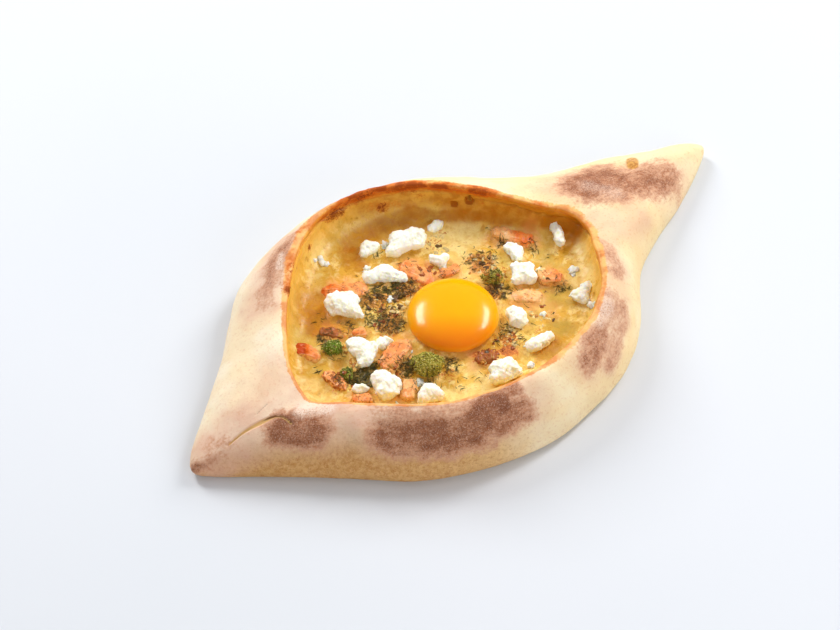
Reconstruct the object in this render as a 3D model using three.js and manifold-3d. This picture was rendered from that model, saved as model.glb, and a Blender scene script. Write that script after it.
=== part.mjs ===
// Open boat-shaped cheese bread: a loaf with two long points and a raised rim round an eye-shaped
// well, filled with melted cheese and topped with a raw egg yolk, white cheese crumbles, salmon,
// broccoli and dill.
//
// Millimetres. +X runs along the loaf to its slimmer point, +Y to the long side whose rim bulges
// more, +Z up. The origin is on the surface that the loaf rests on, under the middle of its box.

import * as THREE from "three";
import { mergeVertices } from "three/addons/utils/BufferGeometryUtils.js";
import Module from "manifold-3d";

const wasm = await Module();
wasm.setup();

// ---------------------------------------------------------------- Driving dimensions

const GAP = 0.3; // between pieces that touch
const SLOPE_GAP = 1.4 * GAP; // the same, measured level where the surfaces slope

// The loaf: where it is widest, how far its flat underside stays inside that line, and its floor.
const BELLY_HEIGHT = 5;
const FOOT_INSET = 4.5;
const FLOOR_HEIGHT = 8;

// Stations round the loaf, counter-clockwise from the slim point. Each row has the x and y of the
// widest line, then the x, y and height of the lip of the well beside it.
const STATIONS = [
  [158, 8.8, 67.4, -5.3, 26],
  [152.4, 15.2, 67.2, -2, 26.5],
  [139.4, 20.4, 66.4, 1, 27],
  [112.8, 32.6, 63.4, 6, 28],
  [84.6, 41.6, 57.1, 11.7, 29.5],
  [64.9, 54.3, 48.4, 22.3, 31.5],
  [44.9, 68.3, 35.4, 39.3, 33],
  [16.4, 81.3, 14.9, 59.3, 33],
  [-10.6, 85.3, -10.1, 71.3, 33],
  [-37.2, 84.5, -32.1, 72, 33],
  [-60.2, 81.8, -51.1, 63.8, 33],
  [-81.2, 73.4, -68.1, 49.3, 33],
  [-99, 57.4, -82.1, 33.3, 32.5],
  [-114.1, 42.8, -94.1, 17.3, 31],
  [-138.6, 22.8, -100.1, 5.3, 29],
  [-155.6, 8.3, -102.1, -4.2, 27],
  [-158.1, 3.3, -102.6, -9, 26],
  [-153.6, -2.2, -102.3, -11.5, 26],
  [-135.2, -17.4, -99.6, -15.5, 26.5],
  [-110.9, -38, -90.9, -24.7, 29],
  [-80, -64.7, -70.1, -45.7, 32],
  [-59.4, -75.3, -52.2, -57.7, 33],
  [-36.1, -82.9, -33.2, -63.2, 33],
  [-14.4, -85.4, -13.2, -66, 33],
  [5.9, -82.9, 5.8, -64.7, 33],
  [29.2, -77.1, 25.4, -58.5, 33],
  [46.5, -67.8, 38.8, -50.7, 33],
  [59.4, -57.2, 48.4, -41.2, 32.5],
  [72.8, -41.3, 56.4, -29.5, 31],
  [81.8, -32.4, 61.1, -20.7, 29.5],
  [103.5, -20.9, 64.8, -14.1, 28],
  [124.1, -12.2, 66.4, -10.5, 27],
  [149.6, 1.6, 67.4, -7.5, 26],
];
const STEPS_PER_STATION = 3;

// The crust rises from the widest line to the lip: these shares of the way in, along a rise that
// lies between a straight slope (0) and a quarter of an ellipse (1).
const SHOULDER_SHARES = [0.05, 0.16, 0.33, 0.55, 0.8, 1];
// The side at -Y is the rounder: the rise is full up to the first y and steep from the second on.
// Towards the broad point the far side is round as well, from the first x on.
const ROUND_FULLNESS = 0.85;
const STEEP_FULLNESS = 0.4;
const ROUND_SIDE_Y = -25;
const STEEP_SIDE_Y = 65;
const ROUND_END_X = -75;
const STEEP_END_X = -15;
// Where the crust is wider than a shoulder it runs out into a point, which has its own rise.
const POINT_FULLNESS = 0.5;
const SHOULDER_WIDTH = 30;
const POINT_WIDTH = 70;
const LIP_DIP = 0.8; // how far the crust bows just outside the lip

// Inside the lip the wall drops in steps: [mm in from the lip, mm below the lip].
const LIP_STEPS = [
  [1.4, 1.6],
  [0.4, 3.6],
];
// Lower down the steps are [mm in from the lip, height].
const WALL_STEPS = [
  [0.2, 16],
  [3, 12],
  [8, FLOOR_HEIGHT],
];
// The wall faces a point on the loaf's long axis, at this share of the lip's own x.
const WALL_FACING = 0.55;

// Melted cheese: a nearly level pool that clings to the wall up to an edge below the lip. The fillet
// between them is [mm in from the lip, share of the height from the pool to that edge].
const CHEESE_LEVEL = 12.6;
const CHEESE_EDGE_INSET = 0.8;
const CHEESE_EDGE_DROP = 8;
const CHEESE_FILLET = [
  [1.8, 0.66],
  [4.2, 0.34],
  [8.2, 0.13],
  [14, 0.03],
];
const CHEESE_RINGS = [0.3, 0.62]; // share of the way from the fillet to the middle
const CHEESE_MIDDLE = new THREE.Vector3(-15, 2, CHEESE_LEVEL);

const YOLK = { x: -13.8, y: -6.2, radius: 21.6, half_height: 8.5, height: 16.6 };
const YOLK_SEGMENTS = [24, 12]; // round it, and from top to bottom

// White cheese crumbles: [how far the middle lies above the pool, how tall], then each of the lumps
// that hang together in the crumble, [x, y, radius].
const CRUMBLES = [
  [[2, 5.5], [13, 43.4, 2.8], [17.6, 43.6, 3.3]],
  [[2.4, 6.5], [-18.5, 53, 4.2], [-15.5, 51.5, 3], [-21.5, 51.5, 2.6]],
  [[3.8, 10], [-5, 45, 6], [3, 43.5, 5.5], [-11, 42.5, 4], [1, 38.5, 3], [-14.5, 41.3, 2]],
  [[2.2, 6], [1.8, 28.2, 2.8], [3.5, 25, 3.1], [7, 25.4, 2.2]],
  [[2.6, 7.5], [-29, 37.5, 4.6], [-22.5, 35.3, 5], [-19.5, 30.5, 3.4], [-17.3, 26.8, 2.6]],
  [[3.8, 10], [-52, 33.5, 6.2], [-45.8, 31.3, 4.8], [-49.5, 27.5, 5], [-48, 22.5, 3.2]],
  [[3.2, 8.5], [-60, 5, 5.2], [-61.5, 10.4, 3], [-61, -1, 4.2], [-65.2, -1.8, 2.6], [-55.8, 1.6, 3.4]],
  [[2.6, 5.5], [-49.6, 1.6, 3.1], [-47, 0.2, 2]],
  [[3.6, 9], [-64, -15.4, 5.2], [-62, -21, 5], [-67.3, -22.2, 3.8], [-63.5, -25.2, 2.8]],
  [[2, 5], [-75, -12, 2.7], [-72.6, -14.6, 2.3]],
  [[3, 8], [-51, -34.8, 4.8], [-55.2, -36, 3.2], [-48.6, -38.6, 3.2]],
  [[3, 7], [34.6, 10.6, 3.3], [34.8, 6, 3.7], [33.4, 2.2, 2.8]],
  [[3, 8], [28.5, -5.4, 4.8], [33.6, -5, 3.2], [23.4, -7.4, 2.8], [29.8, -10.8, 3.4], [28.6, -0.4, 2.8]],
  [[4.6, 6], [60.2, 8.2, 2.4], [58.2, 5, 2.9], [57, 1.2, 3], [55, -2.8, 3]],
  [[3.8, 5.6], [41, -34, 4], [46, -31.8, 3.4], [50, -31.2, 2.4], [38, -31.8, 2.2], [41, -37.6, 2.6]],
  [[3, 8], [9.6, -22, 3.7], [9, -27, 4.1], [12, -25, 3]],
  [[2.6, 6.5], [4.6, -42.4, 3.9], [9.6, -43.4, 3.5], [14.3, -43.6, 3.2]],
  [[3.4, 9], [-17, -46.2, 5.8], [-12, -44.8, 4.2], [-22, -48, 3.7], [-12.4, -49.8, 3.4]],
];
const CRUMBLE_ROUGHNESS = 0.08; // how far its corners lie off the round, as a share
const SMALL_LUMP_HEIGHT = 0.55; // the smallest lumps are this share of the crumble's height
const CRUMBLE_DETAIL = 2; // subdivisions of its skin
const SMALL_CRUMBLE = { lumps: 2, detail: 1 };

// Salmon and broccoli: [x, y, long, wide, tall, turn in degrees, middle above the pool].
const SALMON = [
  [-42.5, 38.5, 25, 9.4, 5, -38, 1],
  [-9.8, 26.8, 21, 10.4, 5, -74, 1.1],
  [3, 17.7, 13.4, 6.4, 4.6, -10, 1],
  [40.6, 15.2, 25, 8.6, 5.4, -58, 1.9],
  [37.9, -15.6, 14, 9.4, 6, -38, 2],
  [21.9, -17.2, 17, 8.4, 4, -38, 1],
  [-81, 19.6, 15, 8, 6, -58, 2.2],
  [-49.5, -8, 24, 11, 6, 18, 2],
  [-57, -27.6, 14, 7.4, 5.4, 45, 2],
  [-77, -18.1, 11.4, 5.4, 4.6, -38, 1.8],
  [-80, -1.5, 15.4, 7, 4.4, -84, 1.5],
  [-53.6, 13.9, 7.4, 5.8, 4.4, -38, 1.5],
  [-64, 22.4, 12, 6.4, 4.4, -50, 1],
  [-16.6, -34.4, 11, 7.4, 4.4, -30, 1.5],
];
const SALMON_SEGMENTS = [5, 2, 2]; // along, across and up
const SALMON_ROUGHNESS = 0.1;
const SALMON_BEND = 0.25; // of its half width, at the most
const BROCCOLI = [
  [16.5, 1.2, 12.6, 9, 8, -38, 2],
  [-42, -22.6, 18, 15, 10.6, -38, 2.8],
  [-69.2, 13.7, 11.6, 9, 7.6, -38, 2],
  [-73.6, -2.3, 8, 8, 6, -38, 1.4],
];
// A floret's dome, as shares of its length, width and height, and its buds, as shares of its width.
const FLORET_DOME = new THREE.Vector3(0.36, 0.36, 0.38);
const BUD_RADIUS = [0.2, 0.26];
const LARGE_FLORET = { longer_than: 14, buds: 10 };
const SMALL_FLORET_BUDS = 5;
const BUD_FALL = 0.85; // how much lower the outer buds sit than the middle ones
const DOME_DETAIL = 1;
const BUD_DETAIL = 0;

// Patches of dill and browned cheese in the filling: [x, y, radius, height of the mound].
const HERB_PATCHES = [
  [-18, 21.3, 6, 1.8],
  [-39.6, 6.7, 8, 2.2],
  [-35.8, 22.6, 9, 2],
  [23.8, 18.3, 8, 1.8],
  [11.8, -9.9, 4.5, 1.6],
  [-50.8, -18.1, 4, 1.6],
  [-62.6, -8.3, 4, 1.6],
  [3.4, -34.3, 6, 1.4],
];
const SPRIGS_PER_PATCH = 2;
const SPRIG_REACH = 0.7; // of the patch's radius, round which sprigs start
const SPRIG_LENGTH = 6.5;
const SPRIG_RADIUS = 0.75;
const SPRIG_LIFT = 0.2; // of its middle line above the cheese
const SPRIG_SPREAD = 0.6; // radians between its spikes
const SPRIG_CLEARANCE = 2.2; // from any topping
const SPRIG_YOLK_CLEARANCE = 3;
const SPRIG_CHECKS = [0, 0.35, 0.7, 1]; // shares of its length where the clearance is measured

// Torn fold in the crust of the broad point: [x, y, how far the groove's middle is above the crust].
const TEAR_ROUTE = [
  [-143.3, 0.3, 1.4],
  [-134.9, -2.6, 0.2],
  [-126, -5, -0.2],
  [-118.3, -7.8, -0.2],
  [-115.1, -16.9, 1.2],
];
const TEAR_RADIUS = 1.7;
const TEAR_SEGMENTS = { steps: 10, curveSegments: 3 };
const ABOVE_LOAF = 50; // a height from which a ray down meets the crust first

// Where each kind of piece starts in its stream of random numbers.
const SEEDS = { crumble: 100, salmon: 300, broccoli: 500, sprigs: 7 };

const FINISHES = {
  crust: { color: 0xe9d3a6, roughness: 0.85 },
  cheese: { color: 0xdcb75f, roughness: 0.4 },
  yolk: { color: 0xf7a60c, roughness: 0.15 },
  crumble: { color: 0xfdf8e6, roughness: 0.8 },
  salmon: { color: 0xdd7a4e, roughness: 0.5 },
  broccoli: { color: 0x6d7728, roughness: 0.75 },
};

// ---------------------------------------------------------------- Small helpers

const GOLDEN_ANGLE = Math.PI * (3 - Math.sqrt(5));
const MERGE_DISTANCE = 1e-4;
const radians = THREE.MathUtils.degToRad;
const { lerp, smoothstep } = THREE.MathUtils;

// A repeatable stream of numbers from 0 to 1.
function dice(seed) {
  let state = seed * 2654435761;
  return () => {
    state = (state + 0x6d2b79f5) | 0;
    let value = Math.imul(state ^ (state >>> 15), 1 | state);
    value = (value + Math.imul(value ^ (value >>> 7), 61 | value)) ^ value;
    return ((value ^ (value >>> 14)) >>> 0) / 4294967296;
  };
}

// A closed surface through rings of equally many points, with a flat fan over each end ring.
function loft(rings) {
  const count = rings[0].length;
  const positions = rings.flat().flatMap((point) => point.toArray());
  const index = [];
  for (let ring = 0; ring + 1 < rings.length; ring++) {
    for (let i = 0; i < count; i++) {
      const here = ring * count + i;
      const next = ring * count + ((i + 1) % count);
      index.push(here, next, next + count, here, next + count, here + count);
    }
  }
  const last = (rings.length - 1) * count;
  for (const [a, b, c] of THREE.ShapeUtils.triangulateShape(rings[0], [])) index.push(c, b, a);
  for (const [a, b, c] of THREE.ShapeUtils.triangulateShape(rings.at(-1), [])) {
    index.push(last + a, last + b, last + c);
  }
  const geometry = new THREE.BufferGeometry();
  geometry.setAttribute("position", new THREE.Float32BufferAttribute(positions, 3));
  geometry.setIndex(index);
  return geometry;
}

function solidOf(geometry) {
  const bare = geometry.clone();
  bare.deleteAttribute("normal");
  bare.deleteAttribute("uv");
  const merged = mergeVertices(bare, MERGE_DISTANCE);
  return new wasm.Manifold(
    new wasm.Mesh({
      numProp: 3,
      vertProperties: merged.attributes.position.array,
      triVerts: new Uint32Array(merged.index.array),
    }),
  );
}

function geometryOf(solid) {
  const mesh = solid.getMesh();
  const geometry = new THREE.BufferGeometry();
  geometry.setAttribute("position", new THREE.BufferAttribute(mesh.vertProperties, mesh.numProp));
  geometry.setIndex(new THREE.BufferAttribute(mesh.triVerts, 1));
  return geometry;
}

const largest = (solid) =>
  solid.decompose().reduce((best, body) => (body.volume() > best.volume() ? body : best));

// ---------------------------------------------------------------- The loaf

const closedCurve = (points) => new THREE.CatmullRomCurve3(points, true, "centripetal");
const bellyLine = closedCurve(STATIONS.map(([x, y]) => new THREE.Vector3(x, y, BELLY_HEIGHT)));
const lipLine = closedCurve(STATIONS.map((row) => new THREE.Vector3(...row.slice(2))));
const TURNS = Array.from(
  { length: STATIONS.length * STEPS_PER_STATION },
  (_, i) => i / (STATIONS.length * STEPS_PER_STATION),
);

// Soft lumps of the crust: two waves that cross, each less than a millimetre high.
function crustSwell(x, y) {
  const alongLoaf = 0.8 * Math.sin(x / 11 + 1.3 * Math.sin(y / 17));
  const acrossLoaf = 0.6 * Math.sin(y / 9 - x / 23 + 2);
  return alongLoaf + acrossLoaf;
}

// Unit vector along the ground from the lip into the well.
function intoWell(lip) {
  return new THREE.Vector3(lip.x * (WALL_FACING - 1), -lip.y, 0).normalize();
}

// A point inside the well, so far in from the lip and at its own height.
const wallPoint = (lip, inset, height) =>
  lip.clone().addScaledVector(intoWell(lip), inset).setZ(height);

// The crust's section at one turn, from the flat underside over the shoulder to the lip.
function crustSection(turn) {
  const belly = bellyLine.getPoint(turn);
  const lip = lipLine.getPoint(turn);
  const across = lip.clone().sub(belly).setZ(0);
  const width = across.length();
  const steepEnd = smoothstep(belly.x, ROUND_END_X, STEEP_END_X);
  const steepness = smoothstep(belly.y, ROUND_SIDE_Y, STEEP_SIDE_Y) * steepEnd;
  const side = lerp(ROUND_FULLNESS, STEEP_FULLNESS, steepness);
  const fullness = lerp(side, POINT_FULLNESS, smoothstep(width, SHOULDER_WIDTH, POINT_WIDTH));
  const foot = belly.clone().addScaledVector(across, FOOT_INSET / width).setZ(0);
  const shoulder = SHOULDER_SHARES.map((share) => {
    const point = belly.clone().addScaledVector(across, share);
    const rise = lerp(share, Math.sqrt(1 - (1 - share) ** 2), fullness);
    const swell = crustSwell(point.x, point.y) * 4 * share * (1 - share);
    const dip = LIP_DIP * Math.sin(Math.PI * share ** 3);
    return point.setZ(lerp(BELLY_HEIGHT, lip.z, rise) + swell + dip);
  });
  return [foot, belly, ...shoulder];
}

// The wall's section at one turn, from just inside the lip to the floor of the well.
function wallSection(turn) {
  const lip = lipLine.getPoint(turn);
  const rounded = LIP_STEPS.map(([inset, drop]) => wallPoint(lip, inset, lip.z - drop));
  return [...rounded, ...WALL_STEPS.map((step) => wallPoint(lip, ...step))];
}

// Turns a list of sections round the loaf into rings that follow it.
const ringsOf = (sections) => sections[0].map((_, ring) => sections.map((section) => section[ring]));

// The torn fold: a round groove sunk into the crust, that runs out at both ends.
function tearCutter(crust) {
  const finder = new THREE.Raycaster();
  const down = new THREE.Vector3(0, 0, -1);
  const route = TEAR_ROUTE.map(([x, y, lift]) => {
    finder.set(new THREE.Vector3(x, y, ABOVE_LOAF), down);
    const surface = finder.intersectObject(crust)[0].point;
    return surface.setZ(surface.z + lift);
  });
  const section = new THREE.Shape().absarc(0, 0, TEAR_RADIUS, 0, 2 * Math.PI);
  const extrudePath = new THREE.CatmullRomCurve3(route);
  return new THREE.ExtrudeGeometry(section, { extrudePath, ...TEAR_SEGMENTS });
}

function makeBread() {
  const sections = TURNS.map((turn) => [...crustSection(turn), ...wallSection(turn)]);
  const crust = loft(ringsOf(sections));
  return solidOf(crust).subtract(solidOf(tearCutter(new THREE.Mesh(crust))));
}

// ---------------------------------------------------------------- The cheese filling

const poolRipple = (x, y) => 0.35 * Math.sin(x / 9 + y / 14) + 0.3 * Math.sin(y / 7 - x / 19 + 1);

function cheeseHeight(x, y) {
  const mounds = HERB_PATCHES.map(([px, py, radius, tall]) => {
    const distance = Math.hypot(x - px, y - py) / radius;
    return tall * Math.exp(-distance * distance);
  });
  return CHEESE_LEVEL + poolRipple(x, y) + Math.max(...mounds);
}

function cheeseSection(turn) {
  const lip = lipLine.getPoint(turn);
  const [[edgeInset, edgeHeight], [footInset, footHeight], [floorInset]] = WALL_STEPS;
  const side = [
    wallPoint(lip, floorInset + GAP, FLOOR_HEIGHT + GAP),
    wallPoint(lip, footInset + SLOPE_GAP, footHeight),
    wallPoint(lip, edgeInset + SLOPE_GAP, edgeHeight),
    wallPoint(lip, CHEESE_EDGE_INSET, lip.z - CHEESE_EDGE_DROP),
  ];
  const climb = lip.z - CHEESE_EDGE_DROP - CHEESE_LEVEL;
  const fillet = CHEESE_FILLET.map(([inset, share]) =>
    wallPoint(lip, inset, CHEESE_LEVEL + climb * share),
  );
  const shore = fillet.at(-1);
  const pool = CHEESE_RINGS.map((share) => {
    const point = shore.clone().lerp(CHEESE_MIDDLE, share);
    return point.setZ(cheeseHeight(point.x, point.y));
  });
  return [...side, ...fillet, ...pool];
}

const makePool = () => solidOf(loft(ringsOf(TURNS.map(cheeseSection))));

// ---------------------------------------------------------------- Toppings

// Puts a solid made round its own middle onto the filling.
function settle(solid, [x, y, , , , turn, lift]) {
  return solid.rotate([0, 0, turn]).translate([x, y, CHEESE_LEVEL + lift]);
}

function bareIcosahedron(detail) {
  const geometry = new THREE.IcosahedronGeometry(1, detail);
  geometry.deleteAttribute("normal");
  geometry.deleteAttribute("uv");
  return mergeVertices(geometry);
}

// How far along a direction from a middle the furthest of several rounded lumps reaches.
function reachOfLumps(middle, direction, lumps) {
  const reaches = lumps.map(({ centre, size }) => {
    const from = middle.clone().sub(centre).divide(size);
    const step = direction.clone().divide(size);
    const half = from.dot(step) / step.lengthSq();
    const under = half * half - (from.lengthSq() - 1) / step.lengthSq();
    return under > 0 ? Math.sqrt(under) - half : 0;
  });
  return Math.max(...reaches);
}

// White cheese: one rough piece, with the outline of the lumps that hang together in it.
function makeCrumble([[lift, tall], ...rows], seed, grow = 0) {
  const random = dice(SEEDS.crumble + seed);
  const widest = Math.max(...rows.map(([, , radius]) => radius));
  const lumps = rows.map(([x, y, radius]) => {
    const height = (tall / 2) * lerp(SMALL_LUMP_HEIGHT, 1, radius / widest);
    const size = new THREE.Vector3(radius, radius, height).addScalar(grow);
    return { centre: new THREE.Vector3(x, y, CHEESE_LEVEL + lift), size };
  });
  const weight = lumps.reduce((sum, { size }) => sum + size.x ** 2, 0);
  const middle = new THREE.Vector3();
  for (const { centre, size } of lumps) middle.addScaledVector(centre, size.x ** 2 / weight);
  const isSmall = lumps.length <= SMALL_CRUMBLE.lumps;
  const geometry = bareIcosahedron(isSmall ? SMALL_CRUMBLE.detail : CRUMBLE_DETAIL);
  const corners = geometry.attributes.position;
  for (let i = 0; i < corners.count; i++) {
    const direction = new THREE.Vector3().fromBufferAttribute(corners, i);
    const rough = 1 + CRUMBLE_ROUGHNESS * (2 * random() - 1);
    const reach = reachOfLumps(middle, direction, lumps) * rough;
    corners.setXYZ(i, ...middle.clone().addScaledVector(direction, reach).toArray());
  }
  return solidOf(geometry);
}

// How far out the surface of a soft-edged block lies on the way to a point of a cube, as a share.
const cubed = (length) => Math.abs(length) ** 3;
const softCorner = ({ x, y, z }) => 1 / Math.cbrt(cubed(x) + cubed(y) + cubed(z));

// Salmon: a soft-edged block, bent a little, whose top is uneven.
function makeSalmon(place, seed, grow = 0) {
  const [, , long, wide, tall] = place;
  const random = dice(SEEDS.salmon + seed);
  const bend = SALMON_BEND * (2 * random() - 1);
  const block = new THREE.BoxGeometry(2, 2, 2, ...SALMON_SEGMENTS);
  block.deleteAttribute("normal");
  block.deleteAttribute("uv");
  const geometry = mergeVertices(block);
  const spots = geometry.attributes.position;
  for (let i = 0; i < spots.count; i++) {
    const corner = new THREE.Vector3().fromBufferAttribute(spots, i);
    const bump = 1 + SALMON_ROUGHNESS * (2 * random() - 1);
    const { x, y, z } = corner.multiplyScalar(softCorner(corner) * bump);
    const bent = y + bend * (x * x - 0.5);
    spots.setXYZ(i, x * (long / 2 + grow), bent * (wide / 2 + grow), z * (tall / 2 + grow));
  }
  return settle(solidOf(geometry), place);
}

// Broccoli: a floret lying on its side, a low dome studded with buds.
function makeBroccoli(place, seed, grow = 0) {
  const [, , long, wide, tall] = place;
  const random = dice(SEEDS.broccoli + seed);
  const count = long > LARGE_FLORET.longer_than ? LARGE_FLORET.buds : SMALL_FLORET_BUDS;
  const domeSize = new THREE.Vector3(long, wide, tall).multiply(FLORET_DOME).addScalar(grow);
  let floret = solidOf(bareIcosahedron(DOME_DETAIL).scale(...domeSize.toArray()));
  for (let i = 0; i < count; i++) {
    const around = i * GOLDEN_ANGLE;
    const out = Math.sqrt((i + 0.5) / count);
    const radius = lerp(...BUD_RADIUS, random()) * wide;
    const bud = bareIcosahedron(BUD_DETAIL).rotateZ(around);
    bud.scale(radius + grow, radius + grow, radius + grow).translate(
      Math.cos(around) * out * (long / 2 - radius),
      Math.sin(around) * out * (wide / 2 - radius),
      Math.sqrt(1 - BUD_FALL * out * out) * (tall - radius) / 2,
    );
    floret = floret.add(solidOf(bud));
  }
  return settle(floret, place);
}

function makeYolk(grow = 0) {
  const ball = new THREE.SphereGeometry(1, ...YOLK_SEGMENTS).rotateX(Math.PI / 2);
  ball.scale(YOLK.radius + grow, YOLK.radius + grow, YOLK.half_height + grow);
  return solidOf(ball.translate(YOLK.x, YOLK.y, YOLK.height));
}

// A dill sprig lying on the filling: thin spikes that fan out from one end.
function makeSprig(x, y, heading) {
  let sprig = null;
  for (const spread of [-SPRIG_SPREAD, 0, SPRIG_SPREAD]) {
    const spike = new THREE.ConeGeometry(SPRIG_RADIUS, SPRIG_LENGTH, 4, 1);
    spike.translate(0, SPRIG_LENGTH / 2 - SPRIG_RADIUS, 0).rotateZ(heading + spread);
    const solid = solidOf(spike.translate(x, y, cheeseHeight(x, y) + SPRIG_LIFT));
    sprig = sprig ? sprig.add(solid) : solid;
  }
  return sprig;
}

// How far a point is outside a topping's footprint.
function clearOf(x, y, [px, py, long, wide, , turn]) {
  const angle = radians(turn);
  const along = Math.cos(angle) * (x - px) + Math.sin(angle) * (y - py);
  const aside = Math.cos(angle) * (y - py) - Math.sin(angle) * (x - px);
  const [pastEnd, pastSide] = [Math.abs(along) - long / 2, Math.abs(aside) - wide / 2];
  return Math.hypot(Math.max(pastEnd, 0), Math.max(pastSide, 0));
}

// Whether the straight way between two places keeps clear of the yolk and of every topping.
function isFree(start, end, footprints) {
  return SPRIG_CHECKS.every((share) => {
    const x = lerp(start[0], end[0], share);
    const y = lerp(start[1], end[1], share);
    const offYolk = Math.hypot(x - YOLK.x, y - YOLK.y) > YOLK.radius + SPRIG_YOLK_CLEARANCE;
    return offYolk && footprints.every((place) => clearOf(x, y, place) > SPRIG_CLEARANCE);
  });
}

function addSprigs(pool) {
  const random = dice(SEEDS.sprigs);
  const lumps = CRUMBLES.flatMap(([, ...rows]) => rows);
  const lumpFootprints = lumps.map(([x, y, radius]) => [x, y, 2 * radius, 2 * radius, 0, 0]);
  const footprints = [...lumpFootprints, ...SALMON, ...BROCCOLI];
  let filling = pool;
  for (const [px, py, radius] of HERB_PATCHES) {
    for (let i = 0; i < SPRIGS_PER_PATCH; i++) {
      const around = random() * 2 * Math.PI;
      const out = random() * SPRIG_REACH * radius;
      const start = [px + Math.cos(around) * out, py + Math.sin(around) * out];
      const heading = random() * 2 * Math.PI;
      const reach = new THREE.Vector2(0, SPRIG_LENGTH).rotateAround(new THREE.Vector2(), heading);
      const end = [start[0] + reach.x, start[1] + reach.y];
      if (isFree(start, end, footprints)) filling = filling.add(makeSprig(...start, heading));
    }
  }
  return filling;
}

// ---------------------------------------------------------------- The whole

const root = new THREE.Group();
root.name = "khachapuri";

function addNode(name, solid, finish) {
  const material = new THREE.MeshStandardMaterial({ ...finish, metalness: 0 });
  const mesh = new THREE.Mesh(geometryOf(largest(solid)), material);
  mesh.name = name;
  root.add(mesh);
}

const bread = makeBread();
const pool = makePool();
const raisedPool = pool.translate([0, 0, GAP]);

addNode("bread", bread, FINISHES.crust);
addNode("cheese_filling", addSprigs(pool), FINISHES.cheese);
addNode("egg_yolk", makeYolk().subtract(raisedPool), FINISHES.yolk);

// Each topping is cut back from the filling and from every topping placed before it.
const placed = [makeYolk(GAP)];
function addToppings(name, places, make, finish) {
  places.forEach((place, i) => {
    let solid = make(place, i).subtract(raisedPool);
    for (const other of placed) solid = solid.subtract(other);
    addNode(`${name}_${i + 1}`, solid, finish);
    placed.push(make(place, i, GAP));
  });
}
addToppings("cheese_crumble", CRUMBLES, makeCrumble, FINISHES.crumble);
addToppings("salmon", SALMON, makeSalmon, FINISHES.salmon);
addToppings("broccoli", BROCCOLI, makeBroccoli, FINISHES.broccoli);

export default root;
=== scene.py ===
"""Open boat-shaped cheese bread: a blistered crust with two long points round an eye-shaped well of
melted cheese, with a raw egg yolk, white cheese crumbles, salmon, broccoli and dill on it.

Sizes in the tables are millimetres in the frame's own axes; everything made here is in metres.
"""

import math
import random

import bmesh
import bpy
from mathutils import Matrix, Vector, noise
from mathutils.bvhtree import BVHTree


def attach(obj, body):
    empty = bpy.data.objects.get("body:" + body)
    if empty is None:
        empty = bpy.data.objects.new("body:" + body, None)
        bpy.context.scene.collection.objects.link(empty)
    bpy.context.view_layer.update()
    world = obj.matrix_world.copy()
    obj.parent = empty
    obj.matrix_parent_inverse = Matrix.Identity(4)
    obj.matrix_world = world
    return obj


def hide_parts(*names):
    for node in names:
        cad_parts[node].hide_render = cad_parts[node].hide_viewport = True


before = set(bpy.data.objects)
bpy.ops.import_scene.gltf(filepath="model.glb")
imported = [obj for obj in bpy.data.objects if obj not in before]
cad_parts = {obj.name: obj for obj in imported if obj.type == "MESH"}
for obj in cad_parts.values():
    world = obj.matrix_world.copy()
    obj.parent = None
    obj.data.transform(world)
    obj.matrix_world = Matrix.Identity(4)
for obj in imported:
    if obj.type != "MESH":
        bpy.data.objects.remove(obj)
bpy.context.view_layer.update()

MM = 0.001

# Without a seed of its own, noise_vector differs from run to run.
NOISE_SEED = 7
noise.seed_set(NOISE_SEED)

# ---------------------------------------------------------------- The loaf's driving dimensions

BELLY_HEIGHT = 5
FOOT_INSET = 4.5
FLOOR_HEIGHT = 8

# Stations round the loaf, counter-clockwise from the slim point. Each row has the x and y of the
# widest line, then the x, y and height of the lip of the well beside it.
STATIONS = [
    (158, 8.8, 67.4, -5.3, 26), (152.4, 15.2, 67.2, -2, 26.5), (139.4, 20.4, 66.4, 1, 27),
    (112.8, 32.6, 63.4, 6, 28), (84.6, 41.6, 57.1, 11.7, 29.5), (64.9, 54.3, 48.4, 22.3, 31.5),
    (44.9, 68.3, 35.4, 39.3, 33), (16.4, 81.3, 14.9, 59.3, 33), (-10.6, 85.3, -10.1, 71.3, 33),
    (-37.2, 84.5, -32.1, 72, 33), (-60.2, 81.8, -51.1, 63.8, 33), (-81.2, 73.4, -68.1, 49.3, 33),
    (-99, 57.4, -82.1, 33.3, 32.5), (-114.1, 42.8, -94.1, 17.3, 31), (-138.6, 22.8, -100.1, 5.3, 29),
    (-155.6, 8.3, -102.1, -4.2, 27), (-158.1, 3.3, -102.6, -9, 26), (-153.6, -2.2, -102.3, -11.5, 26),
    (-135.2, -17.4, -99.6, -15.5, 26.5), (-110.9, -38, -90.9, -24.7, 29), (-80, -64.7, -70.1, -45.7, 32),
    (-59.4, -75.3, -52.2, -57.7, 33), (-36.1, -82.9, -33.2, -63.2, 33), (-14.4, -85.4, -13.2, -66, 33),
    (5.9, -82.9, 5.8, -64.7, 33), (29.2, -77.1, 25.4, -58.5, 33), (46.5, -67.8, 38.8, -50.7, 33),
    (59.4, -57.2, 48.4, -41.2, 32.5), (72.8, -41.3, 56.4, -29.5, 31), (81.8, -32.4, 61.1, -20.7, 29.5),
    (103.5, -20.9, 64.8, -14.1, 28), (124.1, -12.2, 66.4, -10.5, 27), (149.6, 1.6, 67.4, -7.5, 26),
]
CRUST_STEPS_PER_STATION = 18
CHEESE_STEPS_PER_STATION = 15

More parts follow.
